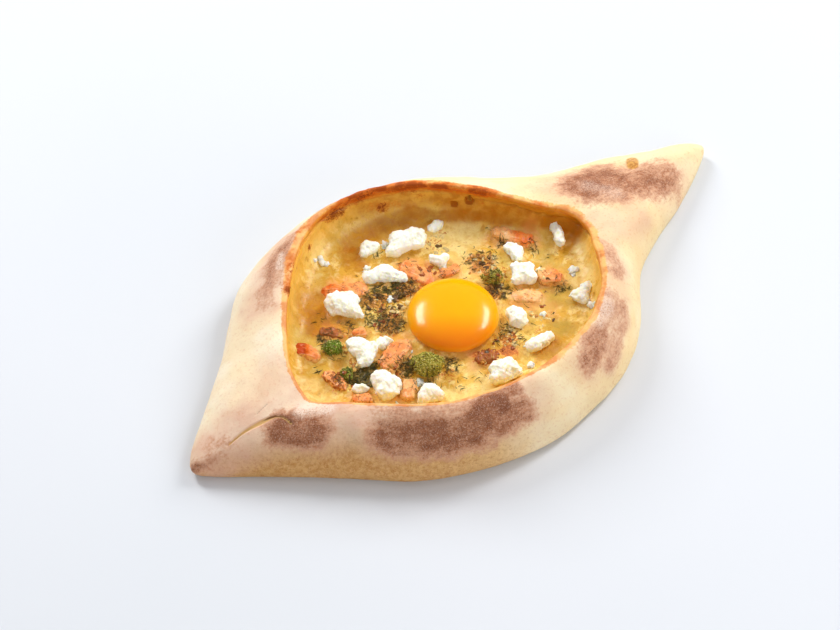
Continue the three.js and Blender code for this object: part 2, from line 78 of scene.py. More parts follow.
# How the crust rises from the widest line to the lip: 0 is a straight slope, 1 a quarter ellipse.
ROUND_FULLNESS = 0.85
STEEP_FULLNESS = 0.4
POINT_FULLNESS = 0.5
SHOULDER_WIDTH = 30
POINT_WIDTH = 70
LIP_DIP = 0.8
NEAR_LIP = 5  # the lip's own lumps and marks keep within this many mm of it
CRUST_RINGS = 62
FOOT_RINGS = 5
LIP_RING = FOOT_RINGS + CRUST_RINGS

# Down the wall of the well: (mm in from the lip, mm below the lip), then (mm in, height).
LIP_STEPS = [(0, 0), (0.9, 0.35), (1.4, 1.4), (1.1, 2.6), (0.4, 3.8)]
WALL_STEPS = [(0.2, 16), (3, 12), (8, FLOOR_HEIGHT)]
WALL_RINGS = 26
WALL_FACING = 0.55  # the wall faces this share of the lip's own x, on the loaf's long axis

# Melted cheese. Its underside is (mm in from the lip, height). Its edge clings to the wall some way
# below the lip, and its fillet is (mm in, share of the height from the pool to the edge).
CHEESE_LEVEL = 12.6
CHEESE_SIDE = [(8.3, 8.3), (3.4, 12), (0.6, 16)]
CHEESE_EDGE_DROP = 6.6
CHEESE_FILLET = [(-0.6, 1.06), (0.7, 0.98), (1.7, 0.7), (4.2, 0.34), (8.2, 0.13), (14, 0.03)]
FILLET_START = len(CHEESE_SIDE)
FILLET_RINGS = 26
POOL_RINGS = 70
POOL_REACH = 0.86  # the rings stop under the yolk, this share of the way to the middle
CHEESE_MIDDLE = Vector((-15, 2, CHEESE_LEVEL))

YOLK_X, YOLK_Y, YOLK_HEIGHT = -13.8, -6.2, 16.6
YOLK_RADIUS, YOLK_HALF_HEIGHT = 21.6, 8.5

# Mounds of browned cheese and dill in the filling: (x, y, radius, height of the mound).
HERB_MOUNDS = [
    (-18, 21.3, 6, 1.8), (-39.6, 6.7, 8, 2.2), (-35.8, 22.6, 9, 2), (23.8, 18.3, 8, 1.8),
    (11.8, -9.9, 4.5, 1.6), (-50.8, -18.1, 4, 1.6), (-62.6, -8.3, 4, 1.6), (3.4, -34.3, 6, 1.4),
]

# ---------------------------------------------------------------- Where the crust is marked

# How far the edges of the crust's outer marks wander, then each mark. It runs from one point to
# another, with a radius: (x, y, z, x, y, z, radius, strength).
OUTER_MARKS = {
    "char": (2, [
        (-85, -48, 24.5, -71, -61, 24.5, 12.5, 0.85), (-71, -61, 24.5, -55, -70, 25, 12.5, 0.98),
        (-55, -70, 25, -41, -68.5, 30.5, 11, 0.98), (-45, -66, 31.3, -37, -69.5, 30.5, 8.5, 1.12),
        (-83, -41, 30.5, -50, -65, 31, 9.5, 0.46), (-74, -62, 20, -50, -75, 20, 9, 0.6),
        (-46, -72, 27, -31, -75, 26.5, 11, 0.82), (-119, -15.5, 22.3, -109, -23.5, 23.4, 11.5, 0.93),
        (-122, -9, 22, -110, -12, 25, 5, 0.4), (-58, 66.5, 30.3, -66, 60.5, 31, 8.5, 0.62),
        (-69, 58.5, 30.5, -75, 53, 30.5, 8.5, 0.62), (-52, 69.5, 31, -60, 66, 30.8, 6, 0.45),
        (-79, 52, 28.5, -84, 46, 29, 7.5, 0.42), (-40, -64, 32.5, -27, -69, 31.5, 5.5, 0.8),
        (-152, -3, 11, -144, 0, 15, 9, 0.3), (-158, 3.5, 5, -156, 1.5, 7.5, 5, 0.8),
        (85, 12, 25, 98, 12, 20, 18, 0.94), (97, 6, 21, 119, -0.5, 16, 15.5, 0.8),
        (24, -65.4, 30.8, 13.5, -71.7, 27.1, 10.5, 0.7), (42, -54.4, 31.2, 31, -62, 30, 8, 0.5),
        (43, -58, 26, 24, -74, 21, 9, 0.5), (60.7, -28.5, 30.1, 56.3, -39.5, 30.2, 8, 0.5),
    ]),
    "blush": (3, [
        (-153, -4, 9, -138, -6, 15, 13, 1.1), (-98, -24, 29, -87, -37, 29.5, 11, 1.35),
        (42, -62, 26, 22, -74, 22, 10, 1), (88, 2, 23, 97, -7, 20, 9, 0.8),
        (73, -12, 26, 90, -17, 22, 14, 0.85), (-84, -44, 28, -28, -71, 30, 19, 0.9),
        (-105.1, 4.8, 28, -117.2, -11.5, 22.3, 19, 0.85), (-130, -6, 21, -104, -25, 25, 17, 0.8),
        (-128, 0, 21, -150, 2, 12, 15, 1.2), (-130, 12, 20, -118, 14, 24, 10, 0.3),
        (-55, 70, 30, -85, 48, 28.5, 15, 1.15), (74, 20, 26, 124, -3, 15, 21, 0.75),
        (44, -52, 31, 12, -72, 28, 15, 0.8), (68, -10, 28, 57, -42, 30, 12, 0.8),
        (62, 22, 28, 45, 42, 32, 6, 0.35),
    ]),
    "flour": (1.5, [
        (27.8, -60.2, 32, 38, -55, 32, 5, 0.8), (-62, 63, 31.5, -67, 57.5, 32, 2.6, 1),
        (-107.5, -13.5, 26.2, -98, -21, 27.5, 4.5, 1.2), (84, 12, 24, 92, 2, 24, 6, 0.4),
    ]),
    "gold": (0.5, [(119.5, 19, 14.5, 115, 13.5, 15.4, 3.6, 1)]),
}
# Blisters where the crust and the cheese browned on the wall of the well: (x, y, z, radius, height).
BLISTERS = [
    (-28.1, 72.1, 26.3, 2.6, 0.7), (-24.3, 72.4, 26.2, 3.2, 0.9), (-20.2, 72.3, 25.6, 3, 0.8),
    (-23, 72.6, 28, 2.6, 0.6), (-15.6, 71.9, 28.6, 1.8, 0.8), (-8.8, 70.5, 29.4, 3, 0.9),
    (-5, 68.3, 31, 2.8, 0.8), (-11, 71, 28, 2, 0.5), (4.3, 64.6, 29.5, 2.4, 0.6),
    (10.1, 61.9, 28.9, 1.6, 0.9), (13.8, 59.6, 28.3, 2, 0.5), (16.5, 56.9, 24.5, 1.8, 0.5),
    (0, 65.6, 20.4, 2.6, 1), (-43.6, 66.2, 21.5, 1.5, 1), (-57.5, 57.7, 23.9, 1.4, 0.4),
    (-72.8, 43.6, 32.2, 2.4, 1), (-71.2, 44.6, 30.5, 2.2, 0.9), (-73.6, 40.6, 31, 2, 0.9),
    (-62.6, 54.5, 32.8, 1.6, 0.7), (-65.6, 51.4, 32.6, 1.4, 0.6), (37.2, 35.8, 24.3, 1.6, 0.4),
]
# Where bubbles burst in the cheese that clings to the wall: (x, y, z, radius, depth).
BURST_HOLES = [(33.3, 40.2, 23.8, 3.1, 1.4), (28.1, 45.1, 21, 2.4, 1.1)]
HOLE_MARKS = [(*row[:4], 1) for row in BURST_HOLES]
# Lumps and hollows of the crust: (x, y, z, radius, height).
CRUST_LUMPS = [
    (-94.5, -41, 24.5, 6, 1.2), (-100.5, -36, 23.3, 5, -1.3), (-88, -46, 25, 6, -0.9),
    (35, -50, 33, 6, 0.8), (46, -46, 33, 6, -0.6), (116.9, 16.1, 15.1, 3.2, 0.9), (-45, -73, 26, 12, 1.1),
    (-112, -20, 23, 9, 0.9),
]
# The torn fold in the broad point: (x, y, half the width of the opening).
TEAR_ROUTE = [
    (-141, -2.6, 0.1), (-135, -3, 0.25), (-131, -3.8, 0.5), (-125.5, -5.4, 0.85), (-121, -6.6, 0.65),
    (-118.5, -7.6, 0.3), (-116.1, -10.2, 0.25), (-115.1, -15.5, 0.15),
]
TEAR_CRACKS = [((-124, -1.2), (-117.5, -0.6)), ((-112.6, -12), (-111.8, -16))]
TEAR_DEPTH = 0.9
TEAR_END = -108  # no part of the torn fold lies beyond this x
TOWARD_CAMERA = -Vector((0.6215, 0.7835, 0))  # the way the camera-facing side of the loaf and of the yolk faces; that side is painted in shade
RIGHTWARD = Vector((0.7835, -0.6215, 0))
# Where the top of the wall browned most: (x, y, z, x, y, z, radius, strength).
TOASTED_WALL = [
    (-46, 68, 31, -30, 73, 30, 3.6, 0.6), (-30, 73, 29, -14, 72, 30.5, 6, 0.8),
    (-14, 72, 30.5, 2, 67, 31, 5.5, 1.05), (2, 66, 31, 14, 59, 31.5, 5.5, 1.2),
    (14, 59, 31.5, 26, 48, 31.7, 4.4, 1.15), (26, 48, 31.7, 42, 31, 31.5, 3.2, 0.9),
    (40, 33, 31, 60, 8, 28.5, 1.6, 0.4), (-4, 68, 22, 6, 62, 21, 4, 0.6),
    (-75, 42, 32, -60, 57, 32.5, 2.8, 0.45),
]
# Painted shade on the wall of the well and on the cheese that clings to it: (x, y, z, x, y, z, radius,
# strength).
SHADED_WALL = [
    (-8, 67, 24, 8, 61, 24, 9, 0.6), (8, 61, 24, 24, 49, 24, 9.5, 0.5), (24, 49, 24, 42, 30, 24, 9.5, 0.7),
    (42, 30, 24, 57, 11, 23, 9, 0.8), (58, 9, 20, 65, -1, 19, 7, 1.1),
    (-22, 62, 14, 8, 58.5, 15.5, 7, 0.62), (10, 58, 16.5, 28, 41, 16.5, 4.5, 0.75),
    (30, 40, 17, 52, 16, 18, 5, 0.85), (-66, 40, 15, -68, 30, 14, 7, 0.4),
]


# ---------------------------------------------------------------- Small sums

def lerp(start, end, share):
    return start + (end - start) * share


def smooth(value, low, high):
    """0 below low, 1 above high, and an even S between them."""
    share = min(max((value - low) / (high - low), 0), 1)
    return share * share * (3 - 2 * share)


def fade(distance, radius, inner, outer):
    """1 in the middle of a spot and 0 outside it; inner and outer are shares of its radius."""
    return 1 - smooth(distance, inner * radius, outer * radius)


def uneven(point, *waves):
    """Random lumps at a point; each wave is (height, size)."""
    return sum(height * noise.noise(point / size) for height, size in waves)


def spline(points, at, closed):
    """The point of a centripetal Catmull-Rom curve where at runs from 0 to 1 along it."""
    count = len(points)
    place = at * (count if closed else count - 1)
    index = min(int(place), count - 1 if closed else count - 2)
    share = place - index

    def knot(i):
        if closed:
            return points[i % count]
        if i < 0:
            return points[0] * 2 - points[1]
        if i >= count:
            return points[-1] * 2 - points[-2]
        return points[i]

    a, b, c, d = (knot(index + step) for step in (-1, 0, 1, 2))
    before, between, after = (max((q - p).length, 1e-6) ** 0.5 for p, q in ((a, b), (b, c), (c, d)))
    leave = ((b - a) / before - (c - a) / (before + between) + (c - b) / between) * between
    arrive = ((c - b) / between - (d - b) / (between + after) + (d - c) / after) * between
    bend = (b - c) * 2 + leave + arrive
    return b + leave * share + ((c - b) * 3 - leave * 2 - arrive) * share ** 2 + bend * share ** 3


def off_stretch(point, start, end):
    """How far along the straight stretch between two points another lies, and how it is off there."""
    along = end - start
    share = min(max((point - start).dot(along) / max(along.length_squared, 1e-9), 0), 1)
    return share, point - start - along * share


def mark(point, marks, ragged):
    """The strongest of several marks at a point, from 0 to 1, with a soft edge that wanders."""
    wander = ragged * uneven(point, (1, 9), (0.35, 3))
    strongest = 0
    for *ends, radius, strength in marks:
        distance = off_stretch(point, Vector(ends[:3]), Vector(ends[3:]))[1].length
        strongest = max(strongest, strength * fade(distance + wander, radius, 0.3, 1.2))
    return strongest


def dab(point, spots, inner, outer):
    """The strongest of several round spots at a point: (x, y, z, radius, strength)."""
    return max(strength * fade((point - Vector(centre)).length, radius, inner, outer)
               for *centre, radius, strength in spots)


# ---------------------------------------------------------------- Skins and pieces

def placed(name, data):
    """A new thing in the scene that shows some data."""
    thing = bpy.data.objects.new(name, data)
    bpy.context.scene.collection.objects.link(thing)
    return thing


def those(parts, kind):
    return [part for part in parts if isinstance(part, kind)]


def mesh_from(name, skin):
    mesh = bpy.data.meshes.new(name)
    skin.to_mesh(mesh)
    skin.free()
    return mesh


def ring_skin(section_at, steps):
    """A skin through sections all round the loaf, and its rings. Each ring is extruded from the last."""
    columns = len(STATIONS) * steps
    rings = list(zip(*[section_at(i / columns) for i in range(columns)]))
    skin = bmesh.new()
    turn = skin.verts.layers.int.new("turn")
    ring_of = skin.verts.layers.int.new("ring")
    bmesh.ops.create_circle(skin, cap_ends=False, segments=columns, radius=1)
    edges = skin.edges[:]
    for index, vert in enumerate(skin.verts):
        vert[turn] = index
        vert.co = rings[0][index] * MM
    for number, ring in enumerate(rings[1:], 1):
        made = bmesh.ops.extrude_edge_only(skin, edges=edges)["geom"]
        edges = those(made, bmesh.types.BMEdge)
        for vert in those(made, bmesh.types.BMVert):
            vert.co = ring[vert[turn]] * MM
            vert[ring_of] = number
    bmesh.ops.recalc_face_normals(skin, faces=skin.faces[:])
    skin.normal_update()
    return skin, rings


def wrap_uv(skin, columns, rings):
    """A map whose u goes once round the loaf and whose v goes down its section."""
    turn = skin.verts.layers.int["turn"]
    ring_of = skin.verts.layers.int["ring"]
    uv = skin.loops.layers.uv.new("Round")
    for face in skin.faces:
        turns = [loop.vert[turn] for loop in face.loops]
        over_the_seam = max(turns) - min(turns) > columns / 2
        for loop, index in zip(face.loops, turns):
            lifted = index + columns if over_the_seam and index < columns / 2 else index
            loop[uv].uv = (lifted / columns, loop.vert[ring_of] / rings)


def close_ends(skin):
    """Shuts the first and the last ring of a skin, each on its own, and turns all faces outwards."""
    ring_of = skin.verts.layers.int["ring"]
    open_edges = [edge for edge in skin.edges if edge.is_boundary]
    for number in sorted({edge.verts[0][ring_of] for edge in open_edges}):
        end = [edge for edge in open_edges if edge.verts[0][ring_of] == number]
        bmesh.ops.triangle_fill(skin, use_beauty=True, use_dissolve=False, edges=end)
    bmesh.ops.recalc_face_normals(skin, faces=skin.faces[:])


def store(skin, rows):
    """Keeps each vertex's row of numbers on it, by name, for the materials to read."""
    for name in rows[0]:
        layer = skin.verts.layers.float.new(name)
        for vert, row in zip(skin.verts, rows):
            vert[layer] = row[name]


def finish_piece(name, skin, finish, nodes):
    """Makes a piece of a bmesh, gives it its material, and ties it to the frame."""
    mesh = mesh_from(name, skin)
    for polygon in mesh.polygons:
        polygon.use_smooth = True
    mesh.materials.append(finish)
    piece = placed(name, mesh)
    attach(piece, "root")
    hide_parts(*nodes)
    return piece


def finish_ring_piece(name, skin, rings, rows, finish, nodes):
    """Finishes a skin of rings: keeps its numbers, maps it, shuts its ends and makes it a piece."""
    store(skin, rows)
    wrap_uv(skin, len(rings[0]), len(rings))
    close_ends(skin)
    return finish_piece(name, skin, finish, nodes)


# ---------------------------------------------------------------- Building materials

def paint(red, green, blue):
    """A colour given as 0 to 255 on a screen, in the renderer's own linear values."""
    shades = (red / 255, green / 255, blue / 255)
    return [s / 12.92 if s <= 0.04045 else ((s + 0.055) / 1.055) ** 2.4 for s in shades] + [1]


class Finish:
    """A material put together from noise, marks and mixes, whose colours are (red, green, blue)."""

    def __init__(self, name, inside=None, **settings):
        """inside is how much light goes in, how far for red, green and blue, and the scale in mm."""
        self.material = bpy.data.materials.new(name)
        self.material.use_nodes = True
        self.tree = self.material.node_tree
        self.shader = self.tree.nodes["Principled BSDF"]
        self.bump = None
        if inside:
            settings["Subsurface_Weight"], settings["Subsurface_Radius"] = inside[:2]
            settings["Subsurface_Scale"] = inside[2] * MM
        for socket, value in settings.items():
            self.shader.inputs[socket.replace("_", " ")].default_value = value
        self.place = self.node("TexCoord", "Object", {})

    def feed(self, node, socket, value):
        if isinstance(value, bpy.types.NodeSocket):
            self.tree.links.new(value, node.inputs[socket])
        else:
            node.inputs[socket].default_value = paint(*value) if isinstance(value, tuple) else value

    def node(self, kind, output, sockets, **settings):
        """Adds a node, sets it up, feeds its sockets, and gives one of its outputs."""
        node = self.tree.nodes.new(f"ShaderNode{kind}")
        for setting, value in settings.items():
            setattr(node, setting, value)
        for socket, value in sockets.items():
            self.feed(node, socket, value)
        return node.outputs[output]

    def stretched(self, across, source):
        """Coordinates squeezed so that what is drawn with them stretches by these amounts."""
        return self.node("Mapping", "Vector", {"Scale": [1 / amount for amount in across], "Vector": source})

    def uv(self, name):
        return self.node("UVMap", "UV", {}, uv_map=name)

    def grain(self, size, detail=3, rough=0.55, twist=0, where=None):
        """Noise from 0 to 1, with features of about size millimetres."""
        return self.node("TexNoise", "Fac", {
            "Vector": where or self.place,
            "Scale": 1 / (size * MM),
            "Detail": detail,
            "Roughness": rough,
            "Distortion": twist,
        })

    def kept(self, name, output="Fac"):
        """What is stored on the piece's vertices."""
        return self.node("Attribute", output, {}, attribute_name=name)

    def plus(self, first, second):
        return self.node("Math", 0, {0: first, 1: second}, operation="ADD")

    def times(self, first, second):
        return self.node("Math", 0, {0: first, 1: second}, operation="MULTIPLY")

    def between(self, value, low, high, start=0, end=1):
        """Spreads low..high smoothly over start..end."""
        sockets = {"Value": value, "From Min": low, "From Max": high, "To Min": start, "To Max": end}
        return self.node("MapRange", "Result", sockets, interpolation_type="SMOOTHSTEP")

    def broken(self, value, grain, reach, low=0.3):
        """A value whose edge is broken up by some grain, which adds or takes up to reach."""
        return self.plus(value, self.between(grain, low, 1 - low, -reach, reach))

    def blend(self, share, first, second):
        return self.node("Mix", 2, {0: share, 6: first, 7: second}, data_type="RGBA")

    def tones(self, value, low, high, first, second):
        return self.blend(self.between(value, low, high), first, second)

    def coats(self, base, *coats):
        """Lays colours over a base. A coat is its share, or what between() takes, and its colour."""
        for *share, colour in coats:
            base = self.blend(self.between(*share) if share[1:] else share[0], base, colour)
        return base

    def relief(self, height, depth):
        """Bump of depth millimetres from a height of 0 to 1, on top of the bumps made before."""
        under = {"Normal": self.bump} if self.bump else {}
        self.bump = self.node("Bump", "Normal", {"Distance": depth * MM, "Height": height, **under})
        self.feed(self.shader, "Normal", self.bump)

    def painted(self, colour):
        self.feed(self.shader, "Base Color", colour)
        return self.material


def baked_crust():
    """Pale floured dough with scorched patches, a browned lip, and a golden wall inside, with painted shade
    on the side that faces the camera and on the wall.
    """
    crust = Finish("baked_crust", (0.1, (1, 0.6, 0.35), 2), Roughness=0.68, Specular_IOR_Level=0.18)
    wide = crust.grain(30, 2)
    middling = crust.grain(8, 3)
    fine = crust.grain(1.3, 3, 0.6)
    dust = crust.grain(0.6, 2, 0.7)
    round_map = crust.uv("Round")
    along = crust.grain(1000, 3, 0.6, 0.4, crust.stretched((0.012, 0.045, 1), round_map))
    across = crust.grain(1000, 3, 0.6, 0.3, crust.stretched((0.0028, 0.16, 1), round_map))
    marked, toast_and_shade, right_share, gold, well = map(crust.kept, ("char", "toast_and_shade", "right_share", "gold", "well"))

    # The cream runs warmer and darker towards the right point.
    pale = crust.tones(wide, 0.38, 0.62, (253, 238, 210), (249, 226, 188))
    warm = crust.tones(wide, 0.38, 0.62, (247, 228, 184), (243, 214, 162))
    cream = crust.coats(crust.blend(right_share, pale, warm), (middling, 0.5, 0.75, 0, 0.3, (236, 198, 142)))
    # The colour of the toasted low band all round, which also serves as painted shade on the side that faces
    # the camera.
    toast_and_shade_colour = crust.coats(
        crust.tones(crust.grain(2.4, 3, 0.6), 0.35, 0.65, (216, 168, 108), (200, 145, 83)),
        (across, 0.4, 0.7, 0, 0.3, (188, 134, 72)),
        # Towards the right point the painted shade turns paler: painted light where light falls there.
        (right_share, (255, 230, 176)),
        (fine, 0.5, 0.62, 0, 0.3, (158, 108, 60)),
        (dust, 0.52, 0.68, 0, 0.35, (244, 208, 158)),
    )

    blush = crust.times(crust.kept("blush"), crust.between(middling, 0.25, 0.7, 0.7, 1.05))
    speckle = crust.broken(crust.broken(crust.broken(0, fine, 0.12), along, 0.1), middling, 0.16)
    char = crust.plus(marked, crust.times(speckle, crust.between(marked, 0, 0.3, 0.3, 1)))
    scorched = crust.between(crust.grain(0.9, 2, 0.8), 0.54, 0.66)
    dusted = crust.times(crust.between(dust, 0.5, 0.68), crust.between(marked, 0.1, 0.5, 0, 0.42))
    floured = crust.times(crust.between(dust, 0.3, 0.6), crust.times(crust.kept("flour"), 0.8))
    lip = crust.between(crust.broken(crust.kept("rim"), fine, 0.2), 0.3, 0.85)
    outside = crust.coats(
        # Painted shade on the camera-facing side, over the toasted low band.
        crust.blend(toast_and_shade, cream, toast_and_shade_colour),
        (crust.times(blush, 0.7), (226, 180, 154)),
        (char, 0.03, 0.55, 0, 0.85, (208, 154, 122)),
        (char, 0.4, 1, 0, 0.9, (166, 106, 72)),
        (char, 0.7, 1.3, 0, 0.85, (122, 70, 46)),
        (crust.times(scorched, crust.between(char, 0.3, 0.9, 0, 0.6)), (106, 60, 38)),
        (dusted, (222, 188, 166)),
        (floured, (240, 218, 200)),
        (crust.times(lip, 0.85), crust.tones(middling, 0.4, 0.62, (246, 188, 108), (222, 134, 60))),
    )

    golden = crust.tones(middling, 0.35, 0.65, (248, 184, 82), (224, 136, 44))
    clinging = crust.tones(wide, 0.4, 0.6, (244, 188, 74), (232, 164, 50))
    edge = crust.broken(crust.kept("depth"), middling, 0.22)
    # Painted shade in dark amber on the wall.
    wall = crust.coats(golden, (edge, 0.1, 0.5, clinging), (crust.kept("wall_shade"), 0.1, 1.1, (196, 124, 16)))
    toasted = crust.times(crust.kept("toasted"), crust.between(middling, 0.3, 0.65, 0.5, 1.1))
    toasted = crust.broken(toasted, fine, 0.12)
    brown = crust.broken(crust.kept("blister"), fine, 0.3, 0.35)
    crust.relief(crust.grain(0.7, 3, 0.7), 0.1)
    crust.relief(crust.times(along, crust.between(marked, 0, 1, 0.25, 1)), 0.4)
    crust.relief(crust.times(across, toast_and_shade), 0.12)
    crust.relief(middling, 0.25)
    sheen = crust.node("Math", 0, {0: well, 1: gold}, operation="MAXIMUM")
    crust.feed(crust.shader, "Roughness", crust.between(sheen, 0.2, 0.8, 0.68, 0.4))
    return crust.painted(crust.coats(
        outside,
        (well, wall),
        (toasted, 0.1, 0.7, 0, 0.9, (214, 110, 30)),
        (toasted, 0.7, 1.05, 0, 0.85, (158, 66, 10)),
        (gold, 0.1, 0.6, 0, 0.9, crust.tones(fine, 0.4, 0.6, (214, 156, 72), (178, 118, 44))),
        (brown, 0.15, 0.6, 0, 0.6, (206, 104, 30)),
        (brown, 0.5, 1, 0, 0.9, (146, 64, 14)),
        (crust.kept("hole"), 0.35, 0.75, (168, 88, 0)),
        (crust.kept("tear"), 0.3, 0.9, 0, 0.8, (226, 184, 110)),
        # Painted shade in the fold's edge and in the cracks beside it.
        (crust.kept("crack"), 0.3, 0.9, 0, 0.85, (120, 76, 52)),
    ))


def melted_cheese():
    """Baked cheese: creamy curds and amber fat, browned where it bubbled, with wilted herbs in it; the dark
    amber by the walls is painted shade, and some patches are painted lighter as light.
    """
    cheese = Finish("melted_cheese", (0.15, (1, 0.55, 0.2), 2.5), Roughness=0.4, Specular_IOR_Level=0.12,
                    Coat_Weight=0.12, Coat_Roughness=0.2)
    wide = cheese.grain(14, 3, 0.5, 0.5)
    middling = cheese.grain(4.5, 4, 0.6, 0.3)
    small = cheese.grain(2, 3, 0.65)
    fine = cheese.grain(1.1, 3, 0.7)
    clumpy = cheese.between(middling, 0.3, 0.6, 0.5, 1)
    zones = [(cheese.times(cheese.kept(zone), clumpy), colour) for zone, colour in CHEESE_ZONES]
    toasted, herby = cheese.kept("toasted"), cheese.kept("herby")
    blister = cheese.broken(cheese.kept("blister"), fine, 0.3, 0.35)
    toast = cheese.broken(cheese.broken(toasted, fine, 0.42), middling, 0.2)
    stain = cheese.times(cheese.kept("stain"), cheese.between(middling, 0.3, 0.65, 0.4, 1))

    tufts = cheese.grain(3.2, 4, 0.68, 0.8)
    green = cheese.tones(fine, 0.4, 0.6, (52, 52, 18), (104, 88, 34))
    brown = cheese.tones(fine, 0.4, 0.6, (126, 76, 26), (196, 134, 56))
    gaps = cheese.between(herby, 1, 1.5, 1, 0.25)
    herbs = cheese.coats(
        cheese.tones(toasted, 0.25, 0.6, green, brown),
        (cheese.times(cheese.between(tufts, 0.5, 0.57, 0, 0.8), gaps), (204, 146, 62)),
        (cheese.times(cheese.between(tufts, 0.57, 0.66), gaps), (244, 208, 124)),
    )
    wilted = cheese.plus(herby, cheese.between(tufts, 0.3, 0.7, 0.25, -0.4))
    cheese.relief(middling, 0.5)
    cheese.relief(cheese.times(small, cheese.between(herby, 0, 1, 0.2, 1)), 1.1)
    cheese.relief(fine, 0.22)
    cheese.feed(cheese.shader, "Roughness", cheese.between(toasted, 0.1, 0.8, 0.36, 0.55))
    return cheese.painted(cheese.coats(
        cheese.tones(wide, 0.38, 0.62, (228, 174, 62), (238, 198, 100)),
        (middling, 0.47, 0.62, 0, 0.9, (255, 226, 146)),
        (middling, 0.43, 0.28, 0, 0.8, (194, 130, 24)),
        (small, 0.58, 0.72, 0, 0.5, (196, 126, 36)),
        *zones,
        (cheese.broken(cheese.kept("shore"), middling, 0.15), 0.3, 0.9, 0, 0.85, (244, 188, 76)),
        # Painted shade in dark amber where the cheese climbs the wall.
        (cheese.broken(cheese.kept("wall_shade"), middling, 0.2), 0.1, 1.1, (188, 114, 8)),
        (cheese.broken(cheese.kept("rind"), fine, 0.2), 0.3, 0.9, 0, 0.7, (222, 134, 40)),
        (blister, 0.15, 0.6, 0, 0.6, (200, 104, 24)),
        (blister, 0.5, 1, 0, 0.9, (140, 64, 10)),
        (cheese.kept("hole"), 0.3, 0.7, 0, 0.95, (164, 86, 0)),
        (toast, 0.35, 0.85, (212, 126, 46)),
        (toast, 0.75, 1.25, (146, 68, 20)),
        (cheese.times(stain, 0.9), (244, 152, 88)),
        (wilted, 0.3, 0.8, 0, 0.95, herbs),
    ))


def raw_yolk():
    """A glossy raw yolk: painted shade deepens its orange low down and on the side facing the camera, and a
    painted glow of light pales its low rim elsewhere.
    """
    yolk = Finish("raw_yolk", (0.35, (1, 0.45, 0.05), 6), Roughness=0.3, Specular_IOR_Level=0.05,
                  Coat_Weight=0.55, Coat_Roughness=0.17)
    # Painted shade: deeper orange low down and on the camera-facing side.
    deep = yolk.between(yolk.kept("front"), 0.15, 1.05)
    # Painted glow of light along the low rim, weaker on the camera-facing side.
    rim = yolk.between(yolk.kept("height"), 0.3, 0.02, 0, 0.7)
    pale_rim = yolk.times(rim, yolk.between(deep, 0, 1, 1, 0.4))
    return yolk.painted(yolk.coats((255, 176, 0), (deep, (243, 136, 0)), (pale_rim, (255, 200, 60))))


def white_cheese():
    """Brined white cheese, smooth where it was cut and grainy where it broke."""
    white = Finish("white_cheese", (0.5, (1, 0.85, 0.55), 2.4), Roughness=0.6, Specular_IOR_Level=0.25)
    grainy = white.grain(1.6, 3, 0.55)
    white.relief(white.grain(0.5, 3, 0.7), 0.08)
    white.relief(grainy, 0.35)
    return white.painted(white.coats(
        white.tones(grainy, 0.3, 0.6, (249, 253, 216), (252, 255, 243)),
        # Painted light: the lower part turns yellow, as light thrown up from the cheese.
        (white.kept("low"), 0.2, 1, 0, 0.75, (250, 234, 158)),
    ))


def baked_salmon():
    """Cured salmon: orange flesh with pale lines between its flakes, paler and then darker where its sides
    turn down, and some strips browned.
    """
    salmon = Finish("baked_salmon", (0.25, (1, 0.4, 0.2), 2), Roughness=0.45, Specular_IOR_Level=0.25,
                    Coat_Weight=0.15, Coat_Roughness=0.2)
    flesh = salmon.stretched((0.008, 0.0016, 0.0016), salmon.uv("Flesh"))
    flakes = salmon.grain(1000, 3, 0.6, 1.2, flesh)
    blot = salmon.grain(4, 3)
    fine = salmon.grain(0.8, 3, 0.7)
    vivid, edge = salmon.kept("vivid"), salmon.kept("edge")
    browned = salmon.broken(salmon.kept("browned"), salmon.grain(1.5, 2, 0.6), 0.5)
    salmon.relief(flakes, 0.5)
    salmon.relief(fine, 0.15)
    return salmon.painted(salmon.coats(
        salmon.tones(blot, 0.35, 0.65, (250, 180, 108), (253, 202, 138)),
        (vivid, salmon.tones(blot, 0.35, 0.65, (232, 108, 22), (244, 146, 62))),
        (vivid, 1, 1.5, (206, 80, 16)),
        (flakes, 0.54, 0.68, 0, 0.6, (255, 212, 166)),
        (salmon.broken(edge, blot, 0.4), 0.3, 0.8, 0, 0.9, (238, 186, 108)),
        (salmon.broken(edge, fine, 0.35), 0.9, 1.35, 0, 0.7, (186, 96, 36)),
        (browned, 0.25, 0.75, 0, 0.9, (160, 84, 26)),
    ))


def baked_broccoli():
    """Broccoli buds: olive with pale tips, with dark blotches of painted shade standing for the gaps between
    them.
    """
    green = Finish("baked_broccoli", (0.1, (0.6, 1, 0.2), 1.2), Roughness=0.65, Specular_IOR_Level=0.2)
    green.relief(green.grain(0.45, 3, 0.7), 0.15)
    return green.painted(green.coats(
        green.tones(green.grain(2.4, 3), 0.35, 0.65, (136, 126, 34), (186, 172, 70)),
        (green.kept("fresh"), 0.2, 0.9, (112, 138, 36)),
        (green.grain(0.8, 2), 0.52, 0.66, 0, 0.75, (226, 212, 134)),
        # Painted shade for the gaps between the buds.
        (green.grain(1.3, 3), 0.46, 0.34, 0, 0.85, (74, 70, 18)),
        (green.grain(3.2, 2), 0.58, 0.7, 0, 0.6, (150, 92, 28)),
    ))


def painted_bits(name, roughness, coat, depth):
    """A finish for scattered bits that each carry their own colour."""
    bits = Finish(name, Roughness=roughness, Specular_IOR_Level=0.2, Coat_Weight=coat, Coat_Roughness=0.25)
    bits.relief(bits.grain(0.5, 3, 0.7), depth)
    mottled = (bits.grain(0.9, 3, 0.6), 0.35, 0.7, 0, 0.3, (60, 40, 16))
    return bits.painted(bits.coats(bits.kept("tone", "Color"), mottled))


# ---------------------------------------------------------------- The crust

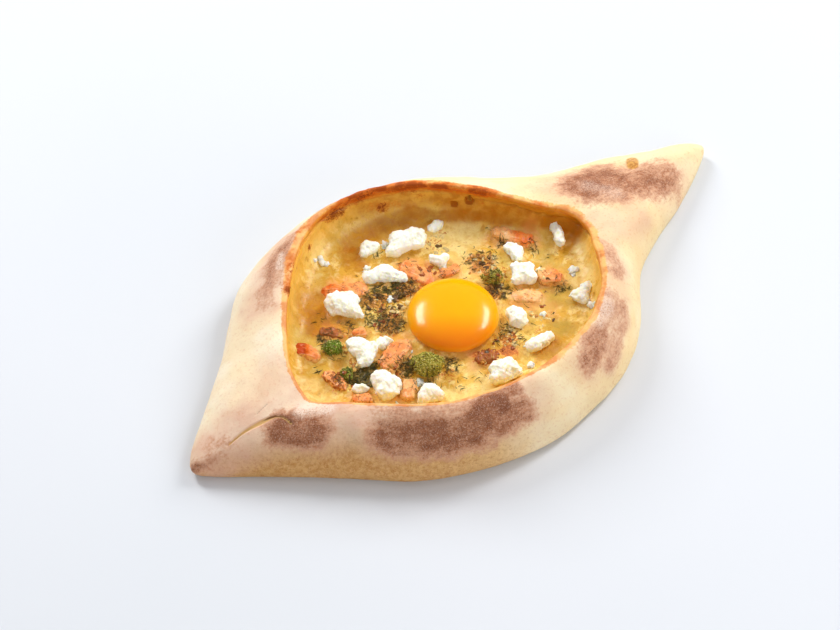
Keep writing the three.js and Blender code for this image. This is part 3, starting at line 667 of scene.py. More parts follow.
BELLY_LINE = [Vector((x, y, BELLY_HEIGHT)) for x, y, *_ in STATIONS]
LIP_LINE = [Vector(row[2:]) for row in STATIONS]


def swell(x, y):
    """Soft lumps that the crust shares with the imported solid."""
    return 0.8 * math.sin(x / 11 + 1.3 * math.sin(y / 17)) + 0.6 * math.sin(y / 9 - x / 23 + 2)


def wall_point(lip, inset, height):
    into_well = Vector((lip.x * (WALL_FACING - 1), -lip.y, 0)).normalized()
    point = lip + into_well * inset
    point.z = height
    return point


def crust_section(at):
    """From the flat underside over the shoulder to the lip, and down the wall to the well's floor."""
    belly = spline(BELLY_LINE, at, True)
    lip = spline(LIP_LINE, at, True)
    across = lip - belly
    across.z = 0
    width = across.length
    steepness = smooth(belly.y, -25, 65) * smooth(belly.x, -75, -15)
    side = lerp(ROUND_FULLNESS, STEEP_FULLNESS, steepness)
    fullness = lerp(side, POINT_FULLNESS, smooth(width, SHOULDER_WIDTH, POINT_WIDTH))
    section = []
    for step in range(FOOT_RINGS):
        bend = step / FOOT_RINGS * math.pi / 2
        point = belly + across * (FOOT_INSET / width * (1 - math.sin(bend)))
        point.z = BELLY_HEIGHT * (1 - math.cos(bend))
        section.append(point)
    for step in range(CRUST_RINGS + 1):
        share = (step / CRUST_RINGS) ** 1.35
        point = belly + across * share
        rise = lerp(share, math.sqrt(1 - (1 - share) ** 2), fullness)
        bulge = swell(point.x, point.y) * 4 * share * (1 - share)
        dip = LIP_DIP * math.sin(math.pi * share ** 3)
        point.z = lerp(BELLY_HEIGHT, lip.z, rise) + bulge + dip
        section.append(point)
    steps = [Vector((inset, lip.z - drop, 0)) for inset, drop in LIP_STEPS]
    steps += [Vector((inset, height, 0)) for inset, height in WALL_STEPS]
    for step in range(1, WALL_RINGS + 1):
        place = spline(steps, step / WALL_RINGS, False)
        section.append(wall_point(lip, place.x, place.y))
    return section


def torn_fold(point):
    """How deep the torn fold is at a point, from 0 to 1, and how near its edge or a crack beside it."""
    deepest, line = 0, 0
    for (x1, y1, half1), (x2, y2, half2) in zip(TEAR_ROUTE, TEAR_ROUTE[1:]):
        start, end = Vector((x1, y1, 0)), Vector((x2, y2, 0))
        share, offset = off_stretch(point, start, end)
        half, aside = lerp(half1, half2, share), offset.length
        deepest = max(deepest, 1 - smooth(aside, 0.55 * half, half + 0.7))
        late = smooth(lerp(x1, x2, share), -127, -120)
        # The line along the fold's edge is painted shade, stronger on one side.
        side = 1 if offset.cross(end - start).z < 0 else 0.3
        line = max(line, (1 - smooth(abs(aside - half * 0.6), 0.1, 0.8)) * lerp(0.1, 1, late) * side)
    stretches = [off_stretch(point, Vector((*a, 0)), Vector((*b, 0)))[1].length for a, b in TEAR_CRACKS]
    return deepest, line, 0.6 * (1 - smooth(min(stretches), 0.1, 0.7))


def make_crust():
    skin, rings = ring_skin(crust_section, CRUST_STEPS_PER_STATION)
    turn = skin.verts.layers.int["turn"]
    ring_of = skin.verts.layers.int["ring"]
    rows = []
    for vert in skin.verts:
        point = vert.co / MM
        ring = vert[ring_of]
        inside = ring > LIP_RING
        lip = rings[LIP_RING][vert[turn]]
        from_lip = (point - lip).length
        near_lip = inside or from_lip < NEAR_LIP
        row = {name: 0 if inside else mark(point, marks, ragged)
               for name, (ragged, marks) in OUTER_MARKS.items()}
        char = row["char"]
        row["blister"] = blister = dab(point, BLISTERS, 0.4, 1.6) if near_lip else 0
        row["hole"] = hole = dab(point, HOLE_MARKS, 0.55, 1.1) if inside else 0
        torn, line, crack = 0, 0, 0
        if point.x < TEAR_END and not inside:
            torn, line, crack = torn_fold(Vector((point.x, point.y, 0)))
        row["tear"] = torn
        row["crack"] = max(line, crack)

        lift = uneven(point, (0.55, 24), (0.07 + 0.14 * char, 2.6))
        lift += 0.28 * noise.noise(point / 9 + Vector((7, 1, 3)))
        lift += 0.12 * char * noise.noise(Vector((point.x / 6, point.y / 6, point.z / 1.6)))
        for *centre, radius, tall in CRUST_LUMPS:
            lift += tall * math.exp(-((point - Vector(centre)).length / radius) ** 2)
        lift -= TEAR_DEPTH * torn + 0.35 * crack
        lift += 0.6 * blister * (0.6 + 0.8 * noise.noise(point / 0.9))
        lift -= 1.2 * hole
        if inside:
            drips = noise.noise(Vector((point.x / 5, point.y / 5, point.z / 16)))
            lift += 0.5 * drips * smooth(from_lip, 2, 7)
        elif ring > FOOT_RINGS:
            lift += 0.3 * uneven(point, (1, 3.3), (0.7, 1.3)) * (1 - smooth(from_lip, 0.5, NEAR_LIP))
        # Painted shade on the side that faces the camera, left of the middle.
        turned = smooth(vert.normal.dot(TOWARD_CAMERA), 0.3, 0.95) * (1 - smooth(point.x, -50, -12))
        vert.co += vert.normal * (lift * smooth(point.z, 0.4, 4) * MM)

        far_side = smooth(lip.y, 15, 60)
        near_right = smooth(lip.x, -25, 8) * (1 - far_side)
        rim_width = (lerp(0.7, 2.8, far_side) + 1.3 * near_right) * (1 + 0.6 * noise.noise(lip / 6))
        row["rim"] = 1 if inside else fade(from_lip, rim_width, 0.4, 1.7)
        row["well"] = smooth(ring, LIP_RING + 2, LIP_RING + 6)
        row["depth"] = smooth(lip.z - point.z, 1, 13) if inside else 0
        # A toasted band low all round, and painted shade on the camera-facing side.
        row["toast_and_shade"] = max(turned, 0.4 * (1 - smooth(point.z, 2, 13)))
        row["toasted"] = mark(point, TOASTED_WALL, 2) if near_lip else 0
        # Painted shade on the wall.
        row["wall_shade"] = mark(point, SHADED_WALL, 1.5) if inside else 0
        # Share towards the right point: it warms the cream and pales the painted shade.
        row["right_share"] = smooth(point.x, -100, 60)
        rows.append(row)
    return finish_ring_piece("crust", skin, rings, rows, baked_crust(), ["bread"])


# ---------------------------------------------------------------- The filling

# Clumps of dill: (x, y, radius, strands, shade from 0, nearly black, to 1, green).
DILL_CLUMPS = [
    (-67.8, 22, 4.5, 26, 0.25), (-69.4, 13, 5, 22, 0.9), (-81.3, 9, 3.5, 7, 0.3), (-50, -16, 5, 56, 0.15),
    (-67.4, -7, 7, 90, 0.15), (-57, -5, 4, 22, 0.15), (-77.5, -4, 5, 26, 0.35), (-16.1, 49, 3, 14, 0.2),
    (-20, 24, 6.5, 76, 0.15), (-30, 27, 6, 34, 0.2), (-38.5, 9, 6.5, 84, 0.12), (-34, 14, 6, 24, 0.4),
    (-38.3, 25.8, 6.5, 32, 0.3), (-43, 17, 5, 24, 0.3), (17.8, 15.6, 7.5, 20, 0.3), (24, 13, 5, 20, 0.2),
    (34, 16, 2.6, 14, 0.2), (43.8, 5, 3, 16, 0.15), (47.8, -3.7, 4.5, 4, 0.3), (4.7, 11.4, 4.5, 3, 0.3),
    (17, 3, 5, 22, 0.4), (14.5, -6, 6.5, 32, 0.15), (38.3, -21.9, 5, 20, 0.2), (3, -27, 5, 18, 0.3),
    (-4.4, -27.4, 4, 16, 0.25), (1.3, -35.1, 4.5, 12, 0.35), (-24.4, -42.5, 4, 7, 0.4),
    (-32, -27, 5, 24, 0.2), (-47, -31, 5, 20, 0.25), (-33, -38, 5, 8, 0.3), (-14, -55, 5, 4, 0.4),
    (-56, 22, 5, 16, 0.3), (-52, -28, 4, 14, 0.2), (-12, 36, 6, 8, 0.3), (-26, 37, 5, 8, 0.3),
    (30, -12, 5, 10, 0.3), (-62, 33, 4, 6, 0.3),
]
HERB_HALO = 1.5  # how far the wilted leaves colour the cheese round a clump
THICK_CLUMP = 36  # strands in a clump that hides the cheese
HERBIEST = 1.6
TOPPING_REACH = 5  # the filling rises towards a topping from this many mm away
# How far the edges of the filling's areas wander, then each area: (x, y, radius, strength).
CHEESE_AREAS = {
    "toasted": (2.5, [
        (-18, 21.3, 8, 0.6), (-35.8, 24, 9, 0.65), (-42, 8, 8, 0.6), (-35, 13, 7, 0.5), (-3, 24, 6, 0.5),
        (18, 12, 7, 0.55), (11, -5, 6, 0.7), (22, 2, 6, 0.5), (-16, -34, 7, 1), (-5, -36.5, 5, 1.1),
        (0, -30, 5, 0.8), (3, -36, 4, 0.45), (14.5, -36.1, 4, 0.4), (24, -34, 4, 0.3), (-79, -4, 6, 0.8),
        (-66, 12, 7, 0.3), (-52, -14, 6, 0.5), (-36, -31, 5, 0.5), (-56, 18, 6, 0.45), (10, 37, 5, 0.5),
        (16, 40, 4, 0.3), (-72, -18, 5, 0.4),
    ]),
    # Creamy curds; by the walls, the same colour is painted light where light falls.
    "milky_and_lit": (4, [
        (-40, -44, 9, 0.95), (-30, -48, 9, 0.85), (22, 31, 12, 1), (12, 38, 10, 1), (-91, 4, 7, 0.75),
        (-91, -6, 7, 0.75), (57, -25, 7, 0.9), (64, -13, 8, 1), (-38, 66, 7, 0.5), (15, 22, 9, 0.6),
        (8, 38, 8, 0.35), (22, -24, 9, 0.3), (-64, -3, 6, 0.3), (50, -22, 8, 0.5), (12, 12, 7, 0.5),
        (-25, -36, 6, 0.7), (-14, -52, 10, 0.45), (-46, -30, 7, 0.5),
    ]),
    "khaki": (4, [
        (-84, -1, 6, 0.5), (-84, 8, 9, 0.7), (-78, 30, 9, 0.5), (-76, 22, 7, 0.4), (-45, 53, 9, 0.4),
        (44, -8, 8, 0.6), (48, 4, 8, 0.5), (50, 18, 8, 0.35), (-28, 60, 11, 0.7), (38, -28, 9, 0.6),
        (15, -26, 7, 1), (30, -25, 9, 1), (21, -42, 9, 1),
    ]),
    # Amber painted shade by the walls and beside toppings.
    "amber_shade": (3, [
        (-63, 32, 13, 0.85), (-60, 42, 12, 0.75), (-57, 22, 9, 0.7), (-72, 7, 5, 0.6), (-74, 38, 6, 0.4),
        (8, -50, 8, 0.6), (14, -48, 6, 0.6), (-30, 52, 6, 0.6), (-8, 58, 9, 0.45), (8, 52, 10, 0.5),
        (32, 42, 10, 0.6), (46, 30, 10, 0.6), (58, 14, 9, 0.75), (62, -2, 7, 0.85), (-27, 55, 8, 0.9),
        (-27, 49, 5, 0.9), (-52, 13, 5, 0.6),
    ]),
    "stain": (2.5, [
        (-10, 30, 11, 0.9), (-8, 20, 9, 0.8), (6, 18, 8, 0.6), (18, 12, 9, 0.7), (-43, 39, 12, 0.8),
        (34, 20, 8, 0.6), (46, 10, 8, 0.6), (38, -15, 10, 0.6), (22, -17, 11, 0.8), (26, -30, 8, 0.35),
        (-50, -8, 12, 0.6), (-60, -25, 9, 0.7), (-76, -17, 8, 0.7), (-64, 22, 8, 0.6), (-20, -33, 8, 0.5),
        (-6, -38, 7, 0.5), (-28, 30, 6, 0.4), (-40, 0, 6, 0.5),
    ]),
    "herby": (2.5, [(x, y, radius + HERB_HALO, min(count / THICK_CLUMP, HERBIEST))
                    for x, y, radius, count, _ in DILL_CLUMPS]),
}
# Colours of the areas: khaki; amber, which is painted shade; milky, which is creamy curds and, by the walls,
# painted light.
CHEESE_ZONES = [("khaki", (200, 163, 70)), ("amber_shade", (192, 118, 10)), ("milky_and_lit", (255, 226, 148))]


def spots_at(point, spots, ragged):
    """The strongest of several flat areas at a point, with a soft edge that wanders."""
    wander = ragged * uneven(point, (1, 6), (0.5, 2.2))
    return max(strength * fade(math.hypot(point.x - x, point.y - y) + wander, radius, 0.4, 1.15)
               for x, y, radius, strength in spots)


def cheese_height(x, y):
    """The pool's slow waves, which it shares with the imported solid, and the mounds on it."""
    ripple = 0.35 * math.sin(x / 9 + y / 14) + 0.3 * math.sin(y / 7 - x / 19 + 1)
    mounds = [tall * math.exp(-(math.hypot(x - mx, y - my) / radius) ** 2)
              for mx, my, radius, tall in HERB_MOUNDS]
    return CHEESE_LEVEL + ripple + max(mounds)


def cheese_section(at):
    """From the edge of the floor up the wall, down the fillet and over the pool towards the middle."""
    lip = spline(LIP_LINE, at, True)
    section = [wall_point(lip, inset, height) for inset, height in CHEESE_SIDE]
    climb = lip.z - CHEESE_EDGE_DROP + 1.3 * uneven(lip, (1, 9), (0.7, 3.5)) - CHEESE_LEVEL
    fillet = [Vector((inset, CHEESE_LEVEL + climb * share, 0)) for inset, share in CHEESE_FILLET]
    for step in range(FILLET_RINGS + 1):
        place = spline(fillet, step / FILLET_RINGS, False)
        section.append(wall_point(lip, place.x, place.y))
    shore = section[-1]
    for step in range(1, POOL_RINGS + 1):
        share = POOL_REACH * step / POOL_RINGS
        point = shore.lerp(CHEESE_MIDDLE, share)
        point.z = lerp(point.z, cheese_height(point.x, point.y), smooth(share, 0, 0.2))
        section.append(point)
    return section


def tree_of(objects):
    """One search tree over the world-space faces of several objects, in metres."""
    joined = bmesh.new()
    for piece in objects:
        joined.from_mesh(piece.data)
    tree = BVHTree.FromBMesh(joined)
    joined.free()
    return tree


def make_cheese(toppings):
    skin, rings = ring_skin(cheese_section, CHEESE_STEPS_PER_STATION)
    ring_of = skin.verts.layers.int["ring"]
    rows = []
    for vert in skin.verts:
        point = vert.co / MM
        flat = Vector((point.x, point.y, 0))
        row = {name: spots_at(flat, spots, ragged) for name, (ragged, spots) in CHEESE_AREAS.items()}
        down_fillet = vert[ring_of] - FILLET_START
        top_edge = (1 - smooth(down_fillet, 2, 8)) * lerp(0.45, 0.8, smooth(point.y, 20, 55))
        row["shore"] = 1 - smooth(down_fillet, 2, FILLET_RINGS)
        # Painted shade where the cheese climbs the wall.
        row["wall_shade"] = mark(point, SHADED_WALL, 1.5)
        row["rind"] = max(mark(point, TOASTED_WALL, 2), top_edge)
        row["blister"] = dab(point, BLISTERS, 0.4, 1.6)
        row["hole"] = dab(point, HOLE_MARKS, 0.6, 1.1)
        rows.append(row)
        if down_fillet > 0:
            calm = smooth(down_fillet, 0, 7)
            herby = min(row["herby"], 1)
            rough = 0.1 + 0.5 * row["toasted"] + 0.7 * herby
            lift = uneven(point, (0.4, 8), (0.3, 3.2), (rough, 1.5)) + 0.5 * herby + 0.4 * row["blister"]
            lift = calm * lift - dab(point, BURST_HOLES, 0.5, 1.15)
            found = toppings.find_nearest(vert.co, TOPPING_REACH * MM)
            if found[0] is not None:
                lift += 1.2 * math.exp(-found[3] / MM / 1.5)
            vert.co += vert.normal * (lift * MM)
    return finish_ring_piece("melted_cheese", skin, rings, rows, melted_cheese(), ["cheese_filling"])


def make_yolk():
    skin = bmesh.new()
    bmesh.ops.create_uvsphere(skin, u_segments=96, v_segments=56, radius=1)
    rows = []
    for vert in skin.verts:
        x, y, z = vert.co
        # How far a point lies low and towards the camera, for the yolk's painted shade.
        rows.append({"height": z, "front": vert.co.dot(TOWARD_CAMERA) + 0.25 * (1 - z)})
        reach = YOLK_RADIUS * (1 + 0.012 * noise.noise(vert.co * 1.7))
        vert.co = Vector((YOLK_X + x * reach, YOLK_Y + y * reach, YOLK_HEIGHT + z * YOLK_HALF_HEIGHT)) * MM
    store(skin, rows)
    return finish_piece("egg_yolk_dome", skin, raw_yolk(), ["egg_yolk"])


# ---------------------------------------------------------------- Toppings

CRUMBLE_VOXEL, SALMON_VOXEL, FLORET_VOXEL = 0.42, 0.5, 0.6
FACET_WIDTH = 4.4
FLATTENED = 0.8  # how far the faces of a crumble are drawn flat
FOOT_DEPTH = 0.9


def soften(skin, times):
    for _ in range(times):
        bmesh.ops.smooth_vert(skin, verts=skin.verts[:], factor=0.5,
                              use_axis_x=True, use_axis_y=True, use_axis_z=True)


def remeshed(node, voxel, times):
    """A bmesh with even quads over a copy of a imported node, softened some times."""
    copy = bmesh.new()
    copy.from_mesh(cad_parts[node].data)
    bmesh.ops.remove_doubles(copy, verts=copy.verts[:], dist=0.01 * MM)
    mesh = mesh_from("rough_copy", copy)
    holder = placed("rough_copy", mesh)
    modifier = holder.modifiers.new("Even", "REMESH")
    modifier.mode = "VOXEL"
    modifier.voxel_size = voxel * MM
    even = bpy.data.meshes.new_from_object(holder.evaluated_get(bpy.context.evaluated_depsgraph_get()))
    skin = bmesh.new()
    skin.from_mesh(even)
    bpy.data.objects.remove(holder)
    bpy.data.meshes.remove(mesh)
    bpy.data.meshes.remove(even)
    soften(skin, times)
    skin.normal_update()
    return skin


def middle_of(skin):
    """The middle of a bmesh's box, and how far the box reaches from it."""
    low = Vector([min(vert.co[axis] for vert in skin.verts) for axis in range(3)])
    high = Vector([max(vert.co[axis] for vert in skin.verts) for axis in range(3)])
    return (low + high) / 2, (high - low) / 2


def settle_foot(skin):
    """Draws the underside down, so that the piece sits in what it lies on."""
    low = min(vert.co.z for vert in skin.verts)
    for vert in skin.verts:
        if vert.normal.z < 0.1:
            vert.co.z -= FOOT_DEPTH * MM * (1 - smooth((vert.co.z - low) / MM, 0, 2.2))


def make_crumble(number):
    """A crumble's node with the flat faces and sharp breaks of torn cheese."""
    node = f"cheese_crumble_{number}"
    skin = remeshed(node, CRUMBLE_VOXEL, 2)
    middle, reach = middle_of(skin)
    shift = Vector((number * 13.1, number * 7.7, 0))
    facet_of, facets = [], {}
    for vert in skin.verts:
        point = vert.co / MM + shift
        place = point + noise.noise_vector(point / 3) * 0.9
        centre = noise.voronoi(place / FACET_WIDTH)[1][0]
        key = tuple(round(part, 2) for part in centre) + (vert.normal.z > 0.45,)
        facet_of.append(key)
        facet = facets.setdefault(key, [Vector(), Vector(), 0, 0.9 * noise.noise(centre * 7.3)])
        facet[0] += vert.co
        facet[1] += vert.normal
        facet[2] += 1
    rows = []
    for vert, key in zip(skin.verts, facet_of):
        total, leaning, count, step = facets[key]
        out = leaning.normalized()
        above = (vert.co - total / count).dot(out) / MM
        point = vert.co / MM + shift
        above *= FLATTENED * (1 - smooth(abs(above), 1.2, 2.5))
        vert.co -= out * (above * MM)
        vert.co += vert.normal * ((step + uneven(point, (0.5, 1.9), (0.4, 0.9))) * MM)
        height = (vert.co.z - middle.z + reach.z) / (2 * reach.z)
        # The lower part is painted yellow, as light thrown up from the cheese.
        rows.append({"low": 1 - smooth(height, 0.05, 0.55)})
    store(skin, rows)
    settle_foot(skin)
    soften(skin, 1)
    return finish_piece(f"white_crumble_{number}", skin, WHITE, [node])


def along_and_aside(place, angle):
    """How far a place lies along a direction on the ground, and how far to its left."""
    east, north = math.cos(angle), math.sin(angle)
    return east * place.x + north * place.y, east * place.y - north * place.x


def make_salmon(number, turn, left, right, browned):
    """A strip's node with flakes across it, and a flat map in metres that follows them."""
    node = f"salmon_{number}"
    skin = remeshed(node, SALMON_VOXEL, 2)
    middle, reach = middle_of(skin)
    angle = math.radians(turn)
    half = 0.5 * reach.x / MM
    rows = []
    for vert in skin.verts:
        place = (vert.co - middle) / MM
        along, aside = along_and_aside(place, angle)
        flake = math.sin(along * 1.1 + 2.2 * noise.noise(place / 5) + 0.35 * aside + number)
        lift = 0.25 * flake * smooth(vert.normal.z, -0.2, 0.6)
        lift += 0.6 * noise.noise(place / 3 + Vector((number, 0, 0))) + 0.25 * noise.noise(place / 1.1)
        vert.co += vert.normal * (lift * MM)
        rows.append({
            "edge": 1 - smooth(vert.normal.z, 0.3, 0.9) + 0.2 * noise.noise(place / 2.5),
            "vivid": lerp(left, right, smooth(place.dot(RIGHTWARD), -half, half)),
            "browned": browned,
        })
    store(skin, rows)
    uv = skin.loops.layers.uv.new("Flesh")
    for face in skin.faces:
        for loop in face.loops:
            place = loop.vert.co - middle
            along, aside = along_and_aside(place, angle)
            loop[uv].uv = (along, aside + 0.6 * place.z)
    settle_foot(skin)
    return finish_piece(f"salmon_piece_{number}", skin, SALMON, [node])


def make_broccoli(number, fresh):
    """The floret's stalk is a softened copy of its node, and its buds stand all over it."""
    node = f"broccoli_{number}"
    skin = remeshed(node, FLORET_VOXEL, 4)
    draw = random.Random(40 + number)
    spots = [(vert.co.copy(), vert.normal.copy()) for vert in skin.verts if vert.normal.z > -0.35]
    draw.shuffle(spots)
    taken = []
    for place, out in spots:
        if all((place - other).length > 0.85 * MM for other in taken):
            taken.append(place)
            size = draw.uniform(0.35, 0.65) * MM
            turn = Matrix.Rotation(draw.uniform(0, 6.28), 4, out)
            spot = Matrix.Translation(place + out * draw.uniform(-0.1, 0.45) * MM)
            bmesh.ops.create_icosphere(skin, subdivisions=1, radius=size, matrix=spot @ turn)
    for vert in skin.verts:
        vert.co.z += 0.15 * MM * noise.noise(vert.co / MM / 0.8)
    store(skin, [{"fresh": fresh}] * len(skin.verts))
    return finish_piece(f"broccoli_floret_{number}", skin, BROCCOLI, [node])


# ---------------------------------------------------------------- Dill, toasted bits and crumbs

# Browned curds: (x, y, radius of the patch, how many, smallest and largest in mm, colour).
RUSSET, AMBER, CREAM, DARK = (168, 86, 30), (214, 146, 60), (246, 216, 146), (104, 70, 28)
CURD_COLOURS = [RUSSET, AMBER, CREAM, DARK]
CURD_PATCHES = [
    (-15.5, -33.5, 5.5, 26, 0.6, 1.3, RUSSET), (-4, -32, 6, 18, 0.5, 1.2, RUSSET),
    (0, -26, 5, 10, 0.5, 1.2, AMBER), (4, -33, 6, 14, 0.5, 1.1, CREAM), (-36, 25, 7, 8, 0.8, 1.6, DARK),
    (-33, 20, 7, 18, 0.9, 1.9, AMBER), (-28, 16, 6, 18, 0.9, 2, CREAM), (-40, 14, 6, 12, 0.8, 1.6, RUSSET),
    (-20, 23, 5, 6, 0.7, 1.4, DARK), (-5, 25, 5, 12, 0.6, 1.5, RUSSET), (16, 14, 7, 14, 0.7, 1.6, AMBER),
    (20, 10, 7, 14, 0.7, 1.7, CREAM), (13, -4, 6, 8, 0.7, 1.5, DARK), (19, 2, 6, 14, 0.7, 1.6, AMBER),
    (-77, -5, 5, 12, 0.5, 1.2, RUSSET), (-66, 2, 6, 12, 0.5, 1.3, AMBER),
    (-51, -15, 5, 12, 0.5, 1.3, AMBER), (-64, 16, 7, 14, 0.5, 1.3, AMBER),
    (-47, -33, 4, 8, 0.5, 1.1, AMBER), (10, 36, 6, 14, 0.7, 1.7, CREAM), (24, -30, 8, 14, 0.6, 1.3, CREAM),
    (30, -12, 8, 12, 0.6, 1.4, CREAM), (-58, -16, 5, 8, 0.5, 1.1, AMBER),
]
# Small bits of the white cheese: (x, y, size).
WHITE_BITS = [
    (-41, 59.6, 2.6), (-10.1, 50, 1.6), (-29.2, 22, 1.4), (-43, -9, 1.6), (-49, -26, 1.8), (-40, -24, 1.8),
    (38, -8, 1.4), (22, -30, 1.3), (-3, -50, 1.3), (50, -18, 2.2), (41, -42, 1.6), (-26, 44, 1.5),
    (3, 22.5, 1.6), (-66, -30, 1.5), (-56, 12, 1.4),
]
POOL_LOW, POOL_HIGH = (-92, -64), (58, 66)
LOOSE_STRANDS = 60
LOOSE_MIDDLE, LOOSE_REACH = (-15, 3), (62, 46)
STRAND_POINTS = 5
DILL_DARK, DILL_GREEN = Vector(paint(66, 58, 26)), Vector(paint(124, 126, 52))
HIGH_ABOVE = 80  # rays that look for what lies at a place start here
DOWN = Vector((0, 0, -1))


def scattered(draw, x, y, radius):
    """A random place in a round patch."""
    around, out = draw.uniform(0, 2 * math.pi), radius * math.sqrt(draw.random())
    return x + out * math.cos(around), y + out * math.sin(around)


def top_at(surface, x, y):
    """The highest point of a surface at a place, in metres, or None."""
    return surface.ray_cast(Vector((x, y, HIGH_ABOVE)) * MM, DOWN)[0]


def resting(surface, x, y, lift):
    """The point so far above whatever shows at x and y, in metres."""
    found = top_at(surface, x, y)
    height = CHEESE_LEVEL * MM if found is None else found.z
    return Vector((x * MM, y * MM, height + lift * MM))


def free_place(crumbles, x, y):
    """Whether a place is over the pool, and clear of the yolk and of the white crumbles."""
    off_yolk = math.hypot(x - YOLK_X, y - YOLK_Y) > YOLK_RADIUS + 0.8
    in_pool = POOL_LOW[0] < x < POOL_HIGH[0] and POOL_LOW[1] < y < POOL_HIGH[1]
    return off_yolk and in_pool and top_at(crumbles, x, y) is None


def painted_skin():
    """An empty bmesh whose vertices each keep a colour."""
    skin = bmesh.new()
    skin.verts.layers.float_color.new("tone")
    return skin


def strand(skin, path, radius, shade):
    """One three-sided dill leaf along a path, pointed at its far end."""
    tone = skin.verts.layers.float_color["tone"]
    tint = DILL_DARK.lerp(DILL_GREEN, shade)
    heading = (path[1] - path[0]).to_track_quat("Z", "Y").to_matrix().to_4x4()
    ring = bmesh.ops.create_circle(skin, cap_ends=True, segments=3, radius=radius,
                                   matrix=Matrix.Translation(path[0]) @ heading)["verts"]
    for vert in ring:
        vert[tone] = tint
    edges = list({edge for vert in ring for edge in vert.link_edges})
    for step, here in enumerate(path[1:], 1):
        grown = bmesh.ops.extrude_edge_only(skin, edges=edges)["geom"]
        ring = those(grown, bmesh.types.BMVert)
        edges = those(grown, bmesh.types.BMEdge)
        middle = sum((vert.co for vert in ring), Vector()) / 3
        thin = 1 - 0.8 * (step / (len(path) - 1)) ** 2
        for vert in ring:
            vert.co = here + (vert.co - middle).normalized() * radius * thin
    bmesh.ops.holes_fill(skin, edges=edges, sides=3)


def make_dill(surface, crumbles):
    """Thin strands that lie on the filling, but on none of the white crumbles."""
    skin = painted_skin()
    draw = random.Random(11)
    clumps = [(x, y, radius, shade) for x, y, radius, count, shade in DILL_CLUMPS for _ in range(count)]
    for _ in range(LOOSE_STRANDS):
        spot = scattered(draw, 0, 0, 1)
        x, y = (middle + reach * share for middle, reach, share in zip(LOOSE_MIDDLE, LOOSE_REACH, spot))
        clumps.append((x, y, 3, 0.4))
    for x, y, radius, shade in clumps:
        px, py = scattered(draw, x, y, radius)
        heading = draw.uniform(0, 2 * math.pi)
        bend = draw.uniform(-0.5, 0.5)
        step = draw.uniform(0.35, 1.0)
        rise = draw.uniform(0.05, 0.7)
        path = []
        while len(path) < STRAND_POINTS and free_place(crumbles, px, py):
            path.append(resting(surface, px, py, rise * (0.5 + 0.5 * draw.random())))
            px += step * math.cos(heading)
            py += step * math.sin(heading)
            heading += bend
        if len(path) == STRAND_POINTS:
            own_shade = min(max(shade + draw.uniform(-0.25, 0.25), 0), 1)
            strand(skin, path, draw.uniform(0.1, 0.22) * MM, own_shade)
    return finish_piece("dill", skin, painted_bits("wilted_dill", 0.5, 0.25, 0.05), ["cheese_filling"])


def add_bit(skin, place, size, tint, draw):
    """One rough little lump."""
    tone = skin.verts.layers.float_color["tone"]
    squash = Matrix.Diagonal((draw.uniform(0.7, 1.6), draw.uniform(0.7, 1.6), draw.uniform(0.35, 0.7), 1))
    turn = Matrix.Rotation(draw.uniform(0, 6.28), 4, "Z")
    made = bmesh.ops.create_icosphere(skin, subdivisions=2, radius=size * MM,
                                      matrix=Matrix.Translation(place) @ turn @ squash)
    shift = Vector((draw.random(), draw.random(), draw.random())) * 50
    for vert in made["verts"]:
        out = vert.co - place
        vert.co = place + out * (1 + 0.9 * noise.noise(out / (size * MM) * 1.3 + shift))
        vert[tone] = (*tint, 1)


def make_curds(surface, crumbles):
    """Lumps of browned cheese, half sunk in the filling, with none on the white crumbles."""
    skin = painted_skin()
    draw = random.Random(23)
    for x, y, radius, count, small, large, colour in CURD_PATCHES:
        for _ in range(count):
            px, py = scattered(draw, x, y, radius)
            size = draw.uniform(small, large)
            if free_place(crumbles, px, py):
                shade = draw.uniform(0.75, 1.2)
                own = colour if draw.random() < 0.6 else draw.choice(CURD_COLOURS)
                tint = [min(channel * shade, 1) for channel in paint(*own)[:3]]
                add_bit(skin, resting(surface, px, py, -0.35 * size), size, tint, draw)
    finish = painted_bits("browned_curds", 0.45, 0.3, 0.08)
    return finish_piece("browned_curds", skin, finish, ["cheese_filling"])


def make_white_bits(surface):
    """Crumbs of the white cheese, each with three smaller ones beside it."""
    skin = painted_skin()
    draw = random.Random(31)
    for x, y, size in WHITE_BITS:
        add_bit(skin, resting(surface, x, y, 0.2 * size), size, paint(255, 252, 240)[:3], draw)
        for _ in range(3):
            px, py = x + draw.uniform(-1, 1) * size, y + draw.uniform(-1, 1) * size
            small = size * draw.uniform(0.3, 0.7)
            add_bit(skin, resting(surface, px, py, 0.1), small, paint(255, 250, 236)[:3], draw)
    store(skin, [{"low": 0}] * len(skin.verts))
    return finish_piece("white_bits", skin, WHITE, ["cheese_filling"])


# ---------------------------------------------------------------- Stage, light and camera

VIEW_TARGET = Vector((-17.2, 14.4, 0)) * MM
VIEW_FROM = Vector((-587.9, -705.1, 1094.3)) * MM
VIEW_LENS = 128.57
FLOOR_REACH = 6
ROOM_GLOW = 0.355
# Soft boxes, in metres to the right of, behind and above the food: (name, right, back, up, size, watts).
BOXES = [
    ("left_box", -0.8, 0.98, 1, (0.36, 0.9), 16),
    ("right_box", 0.95, 0.82, 1, (0.26, 0.9), 15.5),
    ("overhead", 0, 0.2, 1.8, (1.2, 1.2), 3),
    ("front_fill", 0.55, -0.9, 0.5, (1, 0.6), 4),
]
# Boxes that face straight down and show only as a gleam.
GLEAMS = [
    ("left_gleam", -1, 0.8, 1, (0.6, 1), 36),
    ("right_gleam", 1.1, 0.6, 1, (0.5, 1.2), 36),
]


def turned_to_food(place):
    return (VIEW_TARGET - place).to_track_quat("-Z", "Y").to_euler()


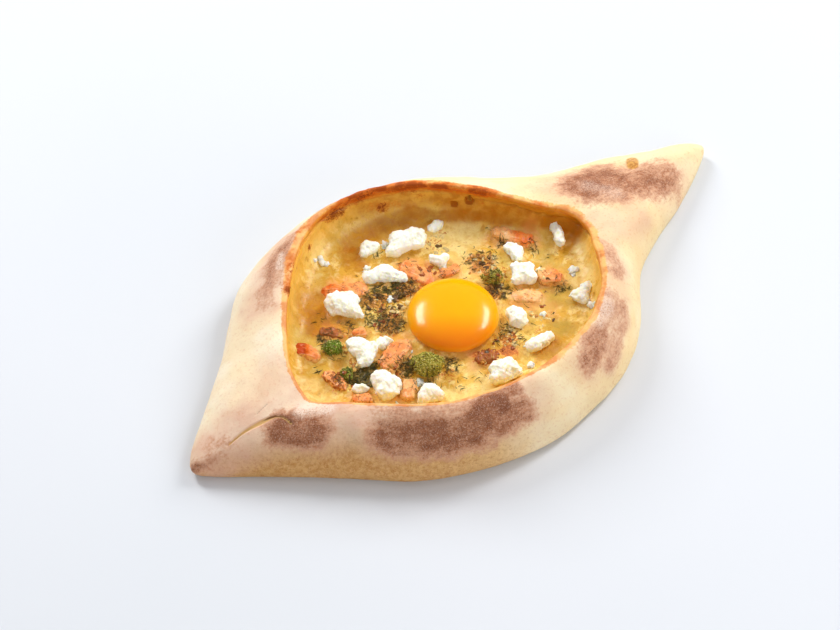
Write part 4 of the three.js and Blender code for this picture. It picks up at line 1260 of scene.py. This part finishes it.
def make_camera():
    data = bpy.data.cameras.new("camera")
    data.lens = VIEW_LENS
    data.sensor_width = 36
    camera = placed("camera", data)
    camera.location = VIEW_FROM
    camera.rotation_euler = turned_to_food(VIEW_FROM)
    bpy.context.scene.camera = camera


def add_light(name, right, back, up, size, power):
    """A soft box in the directions right, back and up of the camera, turned to the food."""
    sight = VIEW_TARGET - VIEW_FROM
    behind = Vector((sight.x, sight.y, 0)).normalized()
    aside = Vector((behind.y, -behind.x, 0))
    data = bpy.data.lights.new(name, "AREA")
    data.shape = "RECTANGLE"
    data.size, data.size_y = size
    data.energy = power
    light = placed(name, data)
    light.location = VIEW_TARGET + aside * right + behind * back + Vector((0, 0, up))
    light.rotation_euler = turned_to_food(light.location)
    return light


def make_stage():
    skin = bmesh.new()
    bmesh.ops.create_grid(skin, x_segments=1, y_segments=1, size=FLOOR_REACH)
    floor = placed("floor", mesh_from("floor", skin))
    pale = Finish("pale_floor", Roughness=0.7)
    cloudy = pale.tones(pale.grain(400, 2), 0.3, 0.7, (216, 220, 226), (220, 223, 229))
    floor.data.materials.append(pale.painted(cloudy))
    world = bpy.data.worlds.new("studio")
    world.use_nodes = True
    background = world.node_tree.nodes["Background"].inputs
    background["Color"].default_value = (1, 1, 1, 1)
    background["Strength"].default_value = ROOM_GLOW
    bpy.context.scene.world = world
    for box in BOXES:
        add_light(*box).visible_glossy = False
    for box in GLEAMS:
        gleam = add_light(*box)
        gleam.rotation_euler = (0, 0, math.atan2(RIGHTWARD.y, RIGHTWARD.x))
        gleam.visible_diffuse = False
    bpy.context.scene.view_settings.view_transform = "Standard"


# ---------------------------------------------------------------- The whole

WHITE = white_cheese()
SALMON = baked_salmon()
BROCCOLI = baked_broccoli()
# For each strip: how its flakes run, how vivid its left and right ends are, how far it is browned.
SALMON_LOOKS = [
    (-38, 0.9, 0.5, 0.12), (-74, 0.7, 0.5, 0), (-10, 0.7, 0.5, 0.2), (-58, 0, 1.1, 0),
    (-38, 0.4, 0.7, 0.15), (-38, 0.1, 0, 0.05), (-58, 1.6, 0.6, 0), (18, 0.7, 0.5, 0.1), (45, 0.3, 0.3, 0),
    (-38, 0.7, 0.5, 0.2), (-84, 0.5, 0.5, 0.5), (-38, 0.8, 0.6, 0.1), (-50, 0.6, 0.4, 1.1),
    (-30, 0.5, 0.5, 1.15),
]
BROCCOLI_FRESHNESS = [0.15, 0.3, 0.95, 0.6]
CRUMBLE_COUNT = 18

make_camera()
make_stage()
make_crust()
crumbles = [make_crumble(number) for number in range(1, CRUMBLE_COUNT + 1)]
toppings = crumbles + [make_salmon(number, *look) for number, look in enumerate(SALMON_LOOKS, 1)]
toppings += [make_broccoli(number, fresh) for number, fresh in enumerate(BROCCOLI_FRESHNESS, 1)]
yolk = make_yolk()
cheese = make_cheese(tree_of(toppings + [yolk]))
clean = tree_of(crumbles)
curds = make_curds(tree_of(toppings + [cheese]), clean)
make_white_bits(tree_of([cheese]))
make_dill(tree_of(toppings + [cheese, curds]), clean)
